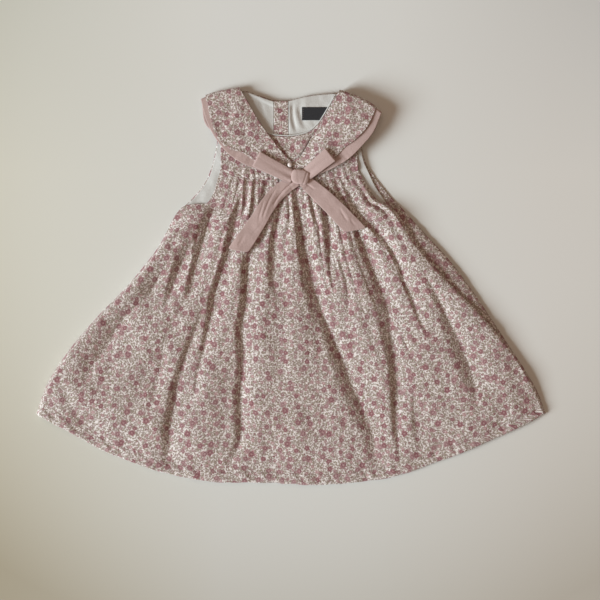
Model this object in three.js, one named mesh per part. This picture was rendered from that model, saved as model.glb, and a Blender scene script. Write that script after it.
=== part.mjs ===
// Toddler's sleeveless sundress, laid flat on its back with the front up.
// Millimetres. +X is the picture's right, +Y runs up to the neck, +Z is up from the surface.
// Every panel is a thin wall of cloth. The walls lie on each other in layers, as on a table.
import * as THREE from 'three';

// Driving sizes
const CLOTH = 1.0;               // thickness of every wall of cloth
const SEAM = 0.3;                // clear gap at a seam and between two layers
const LAYER = CLOTH + SEAM;      // step from one layer to the next
const COLLAR_BACK = 2 * LAYER;   // the collar's back lies under the bodice, two layers deep
const RISE_FROM = 122;           // y where the bodice starts to climb on to the collar's back
const RISE_TO = 162;             // y where it has climbed
const BACK_OPENING_X = -2.75;    // line of the back opening
const PLACKET_WIDTH = 16.7;
const PLACKET_LENGTH = 112;
const LINING_END_Y = 86;         // the bodice lining stops just under the armholes
const NECK_EDGE = 1.6;           // width of the lining that shows along the front neckline

// Skirt front
const GATHERS = 32;              // gathers at the yoke seam, two columns of the wall each
const GATHER_HEIGHT = 1.5;
const GATHER_LENGTH = 42;        // a gather fades out over this length
const PUFF = 5.2;                // how far the front stands off the back between its folds
const PUFF_EDGE = 34;            // distance from a side over which it comes down
const PUFF_TOP = 70;             // distance from the seam over which it comes down
const PUFF_AT_HEM = 0.4;         // share of the puff that is left at the hem
const FLUTES = 13;               // soft flutes that run on from the gathers
const FLUTE_HEIGHT = 0.7;
const FLUTE_START = 20;          // they begin and are full at these distances from the seam
const FLUTE_FULL = 90;
const FOLD_END = 14;             // a long fold dies away over this length past its ends
const HEM_PUCKERS = 17;
const HEM_PUCKER_HEIGHT = 0.5;

// Divisions of the walls
const SKIRT_ROWS = 25;
const SKIRT_BACK_ROWS = 14;
const SKIRT_BACK_COLUMNS = 20;
const YOKE_ROWS = 7;
const YOKE_COLUMNS = 26;
const YOKE_SHOULDER_COLUMNS = 2;
const BACK_BODICE_ROWS = 9;
const BACK_BODICE_COLUMNS = 8;
const COLLAR_ROWS = 20;
const COLLAR_COLUMNS = 5;
const COLLAR_TURN_ROWS = 5;
const COLLAR_BACK_ROWS = 10;
const COLLAR_BACK_COLUMNS = 3;
const LOOP_STEPS = 7;
const TAIL_STEPS = 16;

// Bow and button
const BOW_SEAT = 7.4;            // height of the underside of the knot
const BOW_CLIMB = 1.3;           // the loops climb this much on to the collar
const LOOP_BEND = 1.1;           // radius of the cloth's middle round a loop's end
const LOOP_CROWN = 1.4;          // how far a loop's upper layer stands up halfway
const TAIL_REACH = 14;           // a tail clears the highest cloth this near its middle line
const KNOT = { x: 10.5, y: 125.8, width: 20, depth: 18, height: 6.4, turn: -0.18 };
const PEARL = { x: -1.2, y: 138.7, diameter: 5, height: 3.6 };
const THREAD_LOOP = { x: 11.6, y: 140.6, length: 10.4, width: 4.2, thread: 1.2, turn: -0.33 };
const LABEL = { left: 12.5, bottom: 190, top: 205, bottomRight: 28.6, topRight: 37.8 };

// Turned-over strip at the right side: where it starts and ends, and its height across
const SIDE_TURN = { topY: 88, endY: -60, heights: [1.1, 0.8, 0] };

// Front skirt's sides, a row for each section from the yoke seam down to the hem's corners
const FRONT_SIDES = [
  { leftX: -80.5, leftY: 134, rightX: 77, rightY: 133 },
  { leftX: -84, leftY: 123, rightX: 82, rightY: 124 },
  { leftX: -89, leftY: 107, rightX: 91, rightY: 110 },
  { leftX: -97, leftY: 95, rightX: 99, rightY: 100 },
  { leftX: -111, leftY: 92, rightX: 107, rightY: 95 },
  { leftX: -127, leftY: 87, rightX: 114.5, rightY: 85 },
  { leftX: -153, leftY: 44, rightX: 148, rightY: 42 },
  { leftX: -189, leftY: -1, rightX: 188, rightY: -3 },
  { leftX: -224, leftY: -37, rightX: 223, rightY: -39 },
  { leftX: -259, leftY: -79, rightX: 257, rightY: -79 },
  { leftX: -281, leftY: -115, rightX: 280, rightY: -117 },
  { leftX: -292.4, leftY: -147, rightX: 292.4, rightY: -146 },
];

// Back skirt's sides, from the back yoke's seam down, the armholes at the top
const BACK_SIDES = [
  { leftX: -95.5, leftY: 124.6, rightX: 96.8, rightY: 124.6 },
  { leftX: -104, leftY: 111, rightX: 107, rightY: 112 },
  { leftX: -118, leftY: 96, rightX: 118, rightY: 99 },
  { leftX: -127, leftY: 87, rightX: 126, rightY: 91 },
  { leftX: -153, leftY: 44, rightX: 153, rightY: 61 },
  { leftX: -189, leftY: -1, rightX: 184, rightY: 27 },
  { leftX: -224, leftY: -37, rightX: 223, rightY: -27 },
  { leftX: -259, leftY: -79, rightX: 263.5, rightY: -89 },
  { leftX: -281, leftY: -115, rightX: 282, rightY: -119 },
  { leftX: -292.4, leftY: -147, rightX: 292.4, rightY: -146 },
];

const YOKE_SEAM = [
  { x: -80.5, y: 134 }, { x: -61, y: 126 }, { x: -31, y: 122.5 }, { x: 8, y: 117.5 },
  { x: 40, y: 123 }, { x: 60, y: 126 }, { x: 77, y: 133 },
];

const HEM = [
  { x: -292.4, y: -147 }, { x: -261, y: -163.5 }, { x: -224, y: -184.5 }, { x: -186, y: -201 },
  { x: -139, y: -216 }, { x: -95, y: -224 }, { x: -31, y: -225.5 }, { x: 39, y: -228 },
  { x: 86, y: -224 }, { x: 125, y: -217 }, { x: 182, y: -196.5 }, { x: 221, y: -181 },
  { x: 271, y: -157.5 }, { x: 292.4, y: -146 },
];

// Long folds of the front, a row for each trough: its top, middle and end, width and depth share
const FOLDS = [
  { topX: -80, topY: 112, midX: -118, midY: 40, endX: -136, endY: -4, width: 8, depth: 0.8 },
  { topX: -61, topY: 104, midX: -92, midY: -8, endX: -114, endY: -120, width: 9, depth: 0.85 },
  { topX: -116, topY: -52, midX: -139, midY: -122, endX: -146, endY: -206, width: 8, depth: 0.75 },
  { topX: -30, topY: 100, midX: -57, midY: -25, endX: -72, endY: -205, width: 9, depth: 0.9 },
  { topX: -21, topY: 84, midX: -25, midY: 34, endX: -21, endY: -10, width: 6, depth: 0.5 },
  { topX: 3.6, topY: 110, midX: 24, midY: -12, endX: 101, endY: -214, width: 9, depth: 1.0 },
  { topX: 20, topY: 106, midX: 43, midY: 50, endX: 59, endY: -8, width: 6, depth: 0.6 },
  { topX: 74, topY: 60, midX: 107, midY: -55, endX: 121, endY: -202, width: 8, depth: 0.75 },
  { topX: 94, topY: 86, midX: 120, midY: 25, endX: 150, endY: -52, width: 7, depth: 0.8 },
  { topX: 119, topY: -45, midX: 131, midY: -72, endX: 143, endY: -95, width: 4, depth: 0.4 },
  { topX: 155, topY: 8, midX: 202, midY: -97, endX: 233, endY: -174, width: 8, depth: 0.8 },
  { topX: -160, topY: 9, midX: -206, midY: -40, endX: -240, endY: -90, width: 7, depth: 0.6 },
];

// Front neckline, from the left shoulder round to the right one
const FRONT_NECK = [
  { x: -58.5, y: 220.5 }, { x: -54, y: 208 }, { x: -45, y: 191.5 }, { x: -34, y: 178.5 },
  { x: -22, y: 173 }, { x: -4.6, y: 171.3 }, { x: 9.2, y: 172.8 }, { x: 20.7, y: 176.7 },
  { x: 29.2, y: 185.5 }, { x: 39.5, y: 202.5 }, { x: 49.5, y: 217.5 },
];

// Collar's front halves, a row for each section from the point of the V up to the shoulder.
// The printed layer ends at print, the plain layer under it at plain.
const COLLAR_LEFT = [
  { innerX: 0.5, innerY: 142.3, printX: 1.5, printY: 130.5, plainX: 2.5, plainY: 121.8 },
  { innerX: -9, innerY: 151.5, printX: -20, printY: 134.5, plainX: -21, plainY: 127 },
  { innerX: -20, innerY: 165.5, printX: -40, printY: 142.5, plainX: -42, plainY: 134.7 },
  { innerX: -29, innerY: 177.5, printX: -56, printY: 152.8, plainX: -59.5, plainY: 142.5 },
  { innerX: -37, innerY: 189.5, printX: -72.5, printY: 157.8, plainX: -74, plainY: 153.5 },
  { innerX: -43.5, innerY: 200.5, printX: -83.5, printY: 169, plainX: -87, plainY: 170 },
  { innerX: -50, innerY: 212, printX: -91, printY: 188, plainX: -97, plainY: 190 },
  { innerX: -57, innerY: 223.6, printX: -97, printY: 214, plainX: -102.6, plainY: 211.6 },
];
const COLLAR_RIGHT = [
  { innerX: 0.8, innerY: 142.3, printX: 1.8, printY: 130.5, plainX: 2.8, plainY: 121.8 },
  { innerX: 10.5, innerY: 148, printX: 20, printY: 132.5, plainX: 23, plainY: 124.5 },
  { innerX: 17.5, innerY: 158.5, printX: 35.5, printY: 137, plainX: 38, plainY: 130 },
  { innerX: 24.5, innerY: 170.5, printX: 50.5, printY: 146.5, plainX: 52, plainY: 136.5 },
  { innerX: 31, innerY: 182, printX: 61, printY: 157.5, plainX: 67, plainY: 146 },
  { innerX: 38, innerY: 194.5, printX: 74, printY: 167, plainX: 80, plainY: 158.5 },
  { innerX: 46, innerY: 208, printX: 87, printY: 181, plainX: 94, plainY: 175.5 },
  { innerX: 54, innerY: 220.4, printX: 95.8, printY: 199.5, plainX: 102.8, plainY: 196 },
];

// Collar's back halves, from the shoulder round to the back opening
const COLLAR_BACK_LEFT = [
  { innerX: -57, innerY: 223.2, printX: -97, printY: 213.6, plainX: -102.6, plainY: 211.2 },
  { innerX: -45, innerY: 220.4, printX: -88, printY: 188, plainX: -97, plainY: 184 },
  { innerX: -31, innerY: 214.8, printX: -58, printY: 173.5, plainX: -64, plainY: 165.5 },
  { innerX: -18, innerY: 211.8, printX: -28, printY: 172, plainX: -30, plainY: 164 },
  { innerX: -4, innerY: 211.5, printX: -4, printY: 172, plainX: -4, plainY: 164 },
];
const COLLAR_BACK_RIGHT = [
  { innerX: 54, innerY: 220, printX: 95.8, printY: 198.8, plainX: 102.8, plainY: 195.6 },
  { innerX: 42, innerY: 219.6, printX: 82, printY: 183, plainX: 90, plainY: 177.5 },
  { innerX: 27, innerY: 217.2, printX: 54, printY: 173.5, plainX: 60, plainY: 165.5 },
  { innerX: 12, innerY: 214.8, printX: 24, printY: 172, plainX: 26, plainY: 164 },
  { innerX: -1.5, innerY: 211.5, printX: -1.5, printY: 172, plainX: -1.5, plainY: 164 },
];

// The way the cloth turns over at each shoulder, and how far the shoulder line bows outwards
const SHOULDERS = {
  left: { outX: -0.24, outY: 0.97, bow: 1.6 },
  right: { outX: 0.46, outY: 0.89, bow: 3.0 },
};

// Bow: loops as knot end, far end and widths, tails as stations down the middle of the ribbon
const LOOPS = {
  left: { fromX: -1.6, fromY: 128.6, toX: -39.2, toY: 145, knotWidth: 12, farWidth: 17 },
  right: { fromX: 21.4, fromY: 130.9, toX: 44.8, toY: 149.2, knotWidth: 13.5, farWidth: 18 },
};
const TAILS = {
  left: [
    { x: 2.2, y: 116.3, width: 12 }, { x: -12, y: 106, width: 18 }, { x: -24, y: 92, width: 20 },
    { x: -36, y: 77, width: 20.5 }, { x: -48.5, y: 60.5, width: 21 }, { x: -59.5, y: 40.5, width: 21.5 },
  ],
  right: [
    { x: 19.4, y: 116.4, width: 11 }, { x: 31, y: 108, width: 14 }, { x: 43, y: 97.5, width: 14.5 },
    { x: 55, y: 84.5, width: 16 }, { x: 65, y: 74, width: 17.5 }, { x: 73, y: 65.5, width: 18.5 },
  ],
};

// Finishes
const finish = (color, roughness) => new THREE.MeshStandardMaterial({ color, roughness, metalness: 0 });
const PRINTED = finish(0xb79a96, 0.85);
const PLAIN = finish(0xb89e98, 0.8);
const LINING = finish(0xe6e2da, 0.9);
const TAB = finish(0x26262b, 0.7);
const PEARL_WHITE = finish(0xe9e0d6, 0.3);
const THREAD = finish(0xe6d9cf, 0.7);

const dress = new THREE.Group();
const clamp = THREE.MathUtils.clamp;
const smooth = THREE.MathUtils.smoothstep;
const lerp = THREE.MathUtils.lerp;

function addPiece(name, geometry, material) {
  const mesh = new THREE.Mesh(geometry, material);
  mesh.name = name;
  dress.add(mesh);
  return mesh;
}

// Underside of a layer of the bodice, counted up from the back panel
const rise = (y) => COLLAR_BACK * clamp((y - RISE_FROM) / (RISE_TO - RISE_FROM), 0, 1);
const layerAt = (number) => (x, y) => number * LAYER + rise(y);

// A smooth curve through a table's rows, walked evenly from 0 to 1
function curveOf(rows, xKey = 'x', yKey = 'y') {
  const stations = rows.map((row) => new THREE.Vector3(row[xKey], row[yKey], 0));
  const curve = new THREE.CatmullRomCurve3(stations, false, 'centripetal');
  return (t) => curve.getPointAt(t);
}

// The same, walked row by row, so that two curves of one table keep in step
function sectionsOf(rows, xKey, yKey) {
  const stations = rows.map((row) => new THREE.Vector3(row[xKey], row[yKey], 0));
  const curve = new THREE.CatmullRomCurve3(stations, false, 'centripetal');
  return (t) => curve.getPoint(t);
}

// Points of a panel between its four edges, in rows from the top edge down
function panelPoints({ top, bottom, left, right }, rowCount, columnCount) {
  const rows = [];
  for (let r = 0; r <= rowCount; r += 1) {
    const v = r / rowCount;
    const row = [];
    for (let c = 0; c <= columnCount; c += 1) {
      const u = c / columnCount;
      const point = new THREE.Vector3();
      point.addScaledVector(top(u), 1 - v).addScaledVector(bottom(u), v);
      point.addScaledVector(left(v), 1 - u).addScaledVector(right(v), u);
      point.addScaledVector(top(0), -(1 - u) * (1 - v)).addScaledVector(top(1), -u * (1 - v));
      point.addScaledVector(bottom(0), -(1 - u) * v).addScaledVector(bottom(1), -u * v);
      row.push(point);
    }
    rows.push(row);
  }
  return rows;
}

// A closed wall from a grid of pairs, one point on each face of the cloth
function wall(grid) {
  const columns = grid[0].length;
  const positions = [];
  const faces = [];
  for (const row of grid) {
    for (const { upper, lower } of row) positions.push(...upper, ...lower);
  }
  const up = (r, c) => 2 * (r * columns + c);
  const low = (r, c) => up(r, c) + 1;
  const quad = (a, b, c, d) => faces.push(a, b, c, a, c, d);
  const lastRow = grid.length - 1;
  const lastColumn = columns - 1;
  for (let r = 0; r < lastRow; r += 1) {
    for (let c = 0; c < lastColumn; c += 1) {
      quad(up(r, c), up(r + 1, c), up(r + 1, c + 1), up(r, c + 1));
      quad(low(r, c), low(r, c + 1), low(r + 1, c + 1), low(r + 1, c));
    }
    quad(up(r, 0), low(r, 0), low(r + 1, 0), up(r + 1, 0));
    quad(up(r, lastColumn), up(r + 1, lastColumn), low(r + 1, lastColumn), low(r, lastColumn));
  }
  for (let c = 0; c < lastColumn; c += 1) {
    quad(up(0, c), up(0, c + 1), low(0, c + 1), low(0, c));
    quad(up(lastRow, c), low(lastRow, c), low(lastRow, c + 1), up(lastRow, c + 1));
  }
  if (enclosedVolume(positions, faces) < 0) faces.reverse();
  const geometry = new THREE.BufferGeometry();
  geometry.setAttribute('position', new THREE.Float32BufferAttribute(positions, 3));
  geometry.setIndex(faces);
  geometry.computeVertexNormals();
  return geometry;
}

function enclosedVolume(positions, faces) {
  const corner = (index) => new THREE.Vector3().fromArray(positions, 3 * index);
  let six = 0;
  for (let i = 0; i < faces.length; i += 3) {
    six += corner(faces[i]).dot(corner(faces[i + 1]).cross(corner(faces[i + 2])));
  }
  return six / 6;
}

// Flat cloth over a grid of plan points, its underside at the height given for each point
function laidWall(points, underside, thickness = CLOTH) {
  return wall(points.map((row, r) => row.map((point, c) => {
    const z = underside(point.x, point.y, r, c);
    return { lower: [point.x, point.y, z], upper: [point.x, point.y, z + thickness] };
  })));
}

const shifted = (curve, dx, dy) => (t) => curve(t).add(new THREE.Vector3(dx, dy, 0));
function line(fromX, fromY, toX, toY) {
  return (t) => new THREE.Vector3(lerp(fromX, toX, t), lerp(fromY, toY, t), 0);
}

// How deep the long folds press at a plan point, 0 to 1
function foldDepth(x, y) {
  let depth = 0;
  for (const fold of FOLDS) {
    const t = clamp((fold.topY - y) / (fold.topY - fold.endY), 0, 1);
    const tMiddle = (fold.topY - fold.midY) / (fold.topY - fold.endY);
    const sag = (fold.midX - lerp(fold.topX, fold.endX, tMiddle)) / (tMiddle * (1 - tMiddle));
    const routeX = lerp(fold.topX, fold.endX, t) + sag * t * (1 - t);
    const past = Math.max(y - fold.topY, fold.endY - y, 0);
    const across = (x - routeX) / fold.width;
    depth = Math.max(depth, fold.depth * Math.exp(-across * across) * Math.exp(-past / FOLD_END));
  }
  return depth;
}

// Skirt front: gathered at the yoke, long folds, soft flutes, a puckered hem
function skirtFront() {
  const columns = 2 * GATHERS;
  const points = panelPoints({
    top: shifted(curveOf(YOKE_SEAM), 0, -SEAM),
    bottom: curveOf(HEM),
    left: curveOf(FRONT_SIDES, 'leftX', 'leftY'),
    right: curveOf(FRONT_SIDES, 'rightX', 'rightY'),
  }, SKIRT_ROWS, columns);
  const underside = (x, y, r, c) => {
    const u = c / columns;
    const v = r / SKIRT_ROWS;
    const row = points[r];
    const fromSide = Math.min(row[c].distanceTo(row[0]), row[c].distanceTo(row[columns]));
    const fromSeam = points[0][c].distanceTo(row[c]);
    const seat = LAYER + LAYER * clamp((y - LINING_END_Y + 16) / 14, 0, 1) + rise(y);
    const soft = smooth(fromSide, 0, PUFF_EDGE);
    const puff = PUFF * soft * smooth(fromSeam, 0, PUFF_TOP) * lerp(1, PUFF_AT_HEM, smooth(v, 0.86, 1));
    const wave = (count) => 1 - Math.cos(2 * Math.PI * count * u);
    const flute = FLUTE_HEIGHT * wave(FLUTES) * soft * smooth(fromSeam, FLUTE_START, FLUTE_FULL);
    const pucker = HEM_PUCKER_HEIGHT * wave(HEM_PUCKERS) * soft * smooth(v, 0.9, 1);
    const gather = GATHER_HEIGHT * (c % 2) * Math.exp(-fromSeam / GATHER_LENGTH) * smooth(fromSide, 0, 6);
    return seat + (puff + flute) * (1 - foldDepth(x, y)) + gather + pucker;
  };
  return { points, underside, columns };
}

const front = skirtFront();
addPiece('skirt_front', laidWall(front.points, front.underside), PRINTED);

// Highest cloth of the skirt front within a reach of a plan point
function skirtTopNear(x, y, reach) {
  let top = 0;
  front.points.forEach((row, r) => row.forEach((point, c) => {
    if (Math.hypot(point.x - x, point.y - y) < reach) {
      top = Math.max(top, front.underside(point.x, point.y, r, c) + CLOTH);
    }
  }));
  return top;
}

// Skirt back: flat on the surface
addPiece('skirt_back', laidWall(panelPoints({
  top: line(BACK_SIDES[0].leftX, BACK_SIDES[0].leftY, BACK_SIDES[0].rightX, BACK_SIDES[0].rightY),
  bottom: curveOf(HEM),
  left: curveOf(BACK_SIDES, 'leftX', 'leftY'),
  right: curveOf(BACK_SIDES, 'rightX', 'rightY'),
}, SKIRT_BACK_ROWS, SKIRT_BACK_COLUMNS), () => 0), PRINTED);

// The back's right side turns over on to the front here, down to where the two edges meet
function sideTurn() {
  const silhouette = curveOf(BACK_SIDES, 'rightX', 'rightY');
  const rows = [];
  for (const row of front.points) {
    const seam = row[front.columns];
    if (seam.y > SIDE_TURN.topY || seam.y < SIDE_TURN.endY) continue;
    let edge = silhouette(0);
    for (let t = 0; t <= 1; t += 0.004) {
      if (silhouette(t).distanceTo(seam) < edge.distanceTo(seam)) edge = silhouette(t);
    }
    const across = edge.clone().sub(seam).normalize();
    rows.push([seam.clone().addScaledVector(across, SEAM), seam.clone().lerp(edge, 0.5), edge]);
  }
  return laidWall(rows, (x, y, r, c) => LAYER + SIDE_TURN.heights[c]);
}
addPiece('side_turn_right', sideTurn(), PRINTED);

// Front yoke, from the gathered seam up to the neckline and the shoulders
const YOKE_SHOULDERS = { leftX: -80.5, leftY: 214.5, rightX: 75.9, rightY: 207 };

function yokeTop(t) {
  const neck = curveOf(FRONT_NECK);
  const share = YOKE_SHOULDER_COLUMNS / YOKE_COLUMNS;
  const { leftX, leftY, rightX, rightY } = YOKE_SHOULDERS;
  if (t <= share) return line(leftX, leftY, neck(0).x, neck(0).y)(t / share);
  if (t >= 1 - share) return line(neck(1).x, neck(1).y, rightX, rightY)((t - 1 + share) / share);
  return neck((t - share) / (1 - 2 * share));
}

const yokeSeam = shifted(curveOf(YOKE_SEAM), 0, SEAM / 2);
const yokePoints = panelPoints({
  top: yokeTop,
  bottom: yokeSeam,
  left: line(YOKE_SHOULDERS.leftX, YOKE_SHOULDERS.leftY, yokeSeam(0).x, yokeSeam(0).y),
  right: line(YOKE_SHOULDERS.rightX, YOKE_SHOULDERS.rightY, yokeSeam(1).x, yokeSeam(1).y),
}, YOKE_ROWS, YOKE_COLUMNS);
addPiece('yoke_front', laidWall(yokePoints, layerAt(2)), PRINTED);

// Lining's edge along the front neckline, from the yoke's own edge moved inwards
const neckRow = yokePoints[0].slice(YOKE_SHOULDER_COLUMNS, -YOKE_SHOULDER_COLUMNS);
const neckEdge = neckRow.map((point, i) => {
  const next = neckRow[Math.min(i + 1, neckRow.length - 1)];
  const ahead = next.clone().sub(neckRow[Math.max(i - 1, 0)]).normalize();
  const inwards = new THREE.Vector3(-ahead.y, ahead.x, 0);
  return [SEAM, SEAM + NECK_EDGE].map((reach) => point.clone().addScaledVector(inwards, reach));
});
addPiece('front_neck_edge', laidWall(neckEdge, layerAt(2)), LINING);

// Back bodice and its lining, left and right of the opening
const BACK_BODICE = {
  left: {
    top: [
      { x: -80, y: 214 }, { x: -53, y: 223.4 }, { x: -38, y: 219 }, { x: -18, y: 212.8 },
      { x: -3, y: 212.6 },
    ],
    armhole: [
      { x: -80, y: 214 }, { x: -83, y: 188 }, { x: -85.5, y: 161 }, { x: -90, y: 140 },
      { x: -95.5, y: 125 },
    ],
    centreX: BACK_OPENING_X - SEAM / 2,
  },
  right: {
    top: [
      { x: 75.5, y: 207 }, { x: 52, y: 220.6 }, { x: 40, y: 220.4 }, { x: 18, y: 217.8 },
      { x: -2.5, y: 212.6 },
    ],
    armhole: [
      { x: 75.5, y: 207 }, { x: 79, y: 185 }, { x: 81.5, y: 158 }, { x: 87, y: 139 },
      { x: 96.8, y: 125 },
    ],
    centreX: BACK_OPENING_X + SEAM / 2,
  },
};
const BACK_LINING = {
  left: {
    top: [
      { x: -78.5, y: 213 }, { x: -52, y: 220.5 }, { x: -40, y: 215.5 }, { x: -32, y: 211 },
      { x: -19.75, y: 207 },
    ],
    armhole: [
      { x: -78.5, y: 213 }, { x: -82, y: 188 }, { x: -84.4, y: 161 }, { x: -88.6, y: 142 },
      { x: -93.4, y: 126.5 }, { x: -103.4, y: 110 }, { x: -116.5, y: 95.6 }, { x: -123.5, y: 89.5 },
    ],
    centreX: BACK_OPENING_X - PLACKET_WIDTH - SEAM,
  },
  right: {
    top: [
      { x: 74, y: 206 }, { x: 52, y: 219 }, { x: 40, y: 219.2 }, { x: 18, y: 216.6 },
      { x: -2.5, y: 211.6 },
    ],
    armhole: [
      { x: 74, y: 206 }, { x: 78, y: 184 }, { x: 80.6, y: 156 }, { x: 84, y: 142 },
      { x: 89.5, y: 130 }, { x: 97.5, y: 113.5 }, { x: 106.5, y: 100 }, { x: 110.5, y: 93 },
    ],
    centreX: BACK_OPENING_X + SEAM / 2,
  },
};

function backPanel({ top, armhole, centreX }, bottomY) {
  const edge = curveOf([...top.slice(0, -1), { x: centreX, y: top[top.length - 1].y }]);
  const outer = curveOf(armhole);
  const foot = outer(1);
  return panelPoints({
    top: edge,
    bottom: line(foot.x, foot.y, centreX, bottomY),
    left: outer,
    right: line(centreX, top[top.length - 1].y, centreX, bottomY),
  }, BACK_BODICE_ROWS, BACK_BODICE_COLUMNS);
}

for (const side of ['left', 'right']) {
  addPiece(`yoke_back_${side}`, laidWall(backPanel(BACK_BODICE[side], 125), layerAt(0)), PRINTED);
  addPiece(`lining_back_${side}`, laidWall(backPanel(BACK_LINING[side], LINING_END_Y), layerAt(1)), LINING);
}

// Printed placket of the back opening, in the lining's layer
const placketLeft = BACK_OPENING_X - PLACKET_WIDTH;
const placketRight = BACK_OPENING_X - SEAM / 2;
addPiece('placket', laidWall(panelPoints({
  top: line(placketLeft, 212.2, placketRight, 211.8),
  bottom: line(placketLeft, 212 - PLACKET_LENGTH, placketRight, 212 - PLACKET_LENGTH),
  left: line(placketLeft, 212.2, placketLeft, 212 - PLACKET_LENGTH),
  right: line(placketRight, 211.8, placketRight, 212 - PLACKET_LENGTH),
}, 14, 2), layerAt(1)), PRINTED);

// Bare woven tab on the right lining, running in under the neck edge
addPiece('label', laidWall(panelPoints({
  top: line(LABEL.left, LABEL.top, LABEL.topRight, LABEL.top),
  bottom: line(LABEL.left, LABEL.bottom, LABEL.bottomRight, LABEL.bottom),
  left: line(LABEL.left, LABEL.top, LABEL.left, LABEL.bottom),
  right: line(LABEL.topRight, LABEL.top, LABEL.bottomRight, LABEL.bottom),
}, 2, 4), layerAt(2)), TAB);

// Half of the collar's front: laid on the yoke, then turned over at the shoulder
function collarFront(table, shoulder, outerX, outerY, layer, backMiddle) {
  const inner = sectionsOf(table, 'innerX', 'innerY');
  const outer = sectionsOf(table, outerX, outerY);
  const widest = sectionsOf(table, 'plainX', 'plainY');
  const grid = [];
  for (let r = 0; r <= COLLAR_ROWS; r += 1) {
    const t = r / COLLAR_ROWS;
    const row = [];
    for (let c = 0; c <= COLLAR_COLUMNS; c += 1) {
      const w = c / COLLAR_COLUMNS;
      const point = inner(t).lerp(outer(t), w);
      const share = point.distanceTo(inner(t)) / widest(t).distanceTo(inner(t));
      const bulge = shoulder.bow * 4 * share * (1 - share) * smooth(t, 0.75, 1);
      const x = point.x + shoulder.outX * bulge;
      const y = point.y + shoulder.outY * bulge;
      const z = layerAt(layer)(x, y);
      row.push({ lower: [x, y, z], upper: [x, y, z + CLOTH] });
    }
    grid.push(row);
  }
  const frontMiddle = layerAt(layer)(0, RISE_TO) + CLOTH / 2;
  const centreZ = (frontMiddle + backMiddle) / 2;
  const radius = (frontMiddle - backMiddle) / 2;
  const last = grid[COLLAR_ROWS].map(({ lower }) => ({ x: lower[0], y: lower[1] }));
  for (let i = 1; i <= COLLAR_TURN_ROWS; i += 1) {
    const angle = Math.PI * i / COLLAR_TURN_ROWS;
    grid.push(last.map(({ x, y }) => {
      const at = (r) => [
        x + shoulder.outX * r * Math.sin(angle),
        y + shoulder.outY * r * Math.sin(angle),
        centreZ + r * Math.cos(angle),
      ];
      return { lower: at(radius - CLOTH / 2), upper: at(radius + CLOTH / 2) };
    }));
  }
  return wall(grid);
}

// Half of the collar's back, flat under the bodice
function collarBack(table, outerX, outerY, underside) {
  const inner = sectionsOf(table, 'innerX', 'innerY');
  const outer = sectionsOf(table, outerX, outerY);
  const rows = [];
  for (let r = 0; r <= COLLAR_BACK_ROWS; r += 1) {
    const t = r / COLLAR_BACK_ROWS;
    const row = [];
    for (let c = 0; c <= COLLAR_BACK_COLUMNS; c += 1) {
      row.push(inner(t).lerp(outer(t), c / COLLAR_BACK_COLUMNS));
    }
    rows.push(row);
  }
  return laidWall(rows, () => underside);
}

const COLLARS = {
  left: { front: COLLAR_LEFT, back: COLLAR_BACK_LEFT },
  right: { front: COLLAR_RIGHT, back: COLLAR_BACK_RIGHT },
};
for (const side of ['left', 'right']) {
  const { front: frontTable, back: backTable } = COLLARS[side];
  const shoulder = SHOULDERS[side];
  const plain = collarFront(frontTable, shoulder, 'plainX', 'plainY', 3, LAYER + CLOTH / 2);
  addPiece(`collar_plain_${side}`, plain, PLAIN);
  const printed = collarFront(frontTable, shoulder, 'printX', 'printY', 4, CLOTH / 2);
  addPiece(`collar_print_${side}`, printed, PRINTED);
  addPiece(`collar_plain_back_${side}`, collarBack(backTable, 'plainX', 'plainY', LAYER), PLAIN);
  addPiece(`collar_print_back_${side}`, collarBack(backTable, 'printX', 'printY', 0), PRINTED);
}

// A flat ribbon: stations of its middle line with a half width, thickness square to the path
function ribbon(stations, acrossX, acrossY) {
  return wall(stations.map(({ x, y, z, half, tiltX, tiltY, tiltZ }) => [-1, 0, 1].map((side) => {
    const px = x + acrossX * side * half;
    const py = y + acrossY * side * half;
    const t = CLOTH / 2;
    return {
      lower: [px - tiltX * t, py - tiltY * t, z - tiltZ * t],
      upper: [px + tiltX * t, py + tiltY * t, z + tiltZ * t],
    };
  })));
}

// A bow loop: out along the collar, round its end, and back above itself
function bowLoop({ fromX, fromY, toX, toY, knotWidth, farWidth }) {
  const length = Math.hypot(toX - fromX, toY - fromY);
  const dirX = (toX - fromX) / length;
  const dirY = (toY - fromY) / length;
  const stations = [];
  const add = (s, z, angle) => stations.push({
    x: fromX + dirX * s, y: fromY + dirY * s, z,
    half: lerp(knotWidth, farWidth, s / length) / 2,
    tiltX: dirX * Math.cos(angle), tiltY: dirY * Math.cos(angle), tiltZ: Math.sin(angle),
  });
  const climb = (s) => BOW_CLIMB * s / length;
  const lowMiddle = BOW_SEAT + CLOTH / 2;
  const flat = length - LOOP_BEND;
  for (let i = 0; i <= LOOP_STEPS; i += 1) {
    const s = flat * i / LOOP_STEPS;
    add(s, lowMiddle + climb(s), -Math.PI / 2);
  }
  for (const angle of [-Math.PI / 4, 0, Math.PI / 4]) {
    const z = lowMiddle + climb(length) + LOOP_BEND * (1 + Math.sin(angle));
    add(flat + LOOP_BEND * Math.cos(angle), z, angle);
  }
  for (let i = LOOP_STEPS; i >= 0; i -= 1) {
    const s = flat * i / LOOP_STEPS;
    const crown = LOOP_CROWN * Math.sin(Math.PI * s / length);
    add(s, lowMiddle + climb(s) + 2 * LOOP_BEND + crown, Math.PI / 2);
  }
  return ribbon(stations, -dirY, dirX);
}

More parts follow.
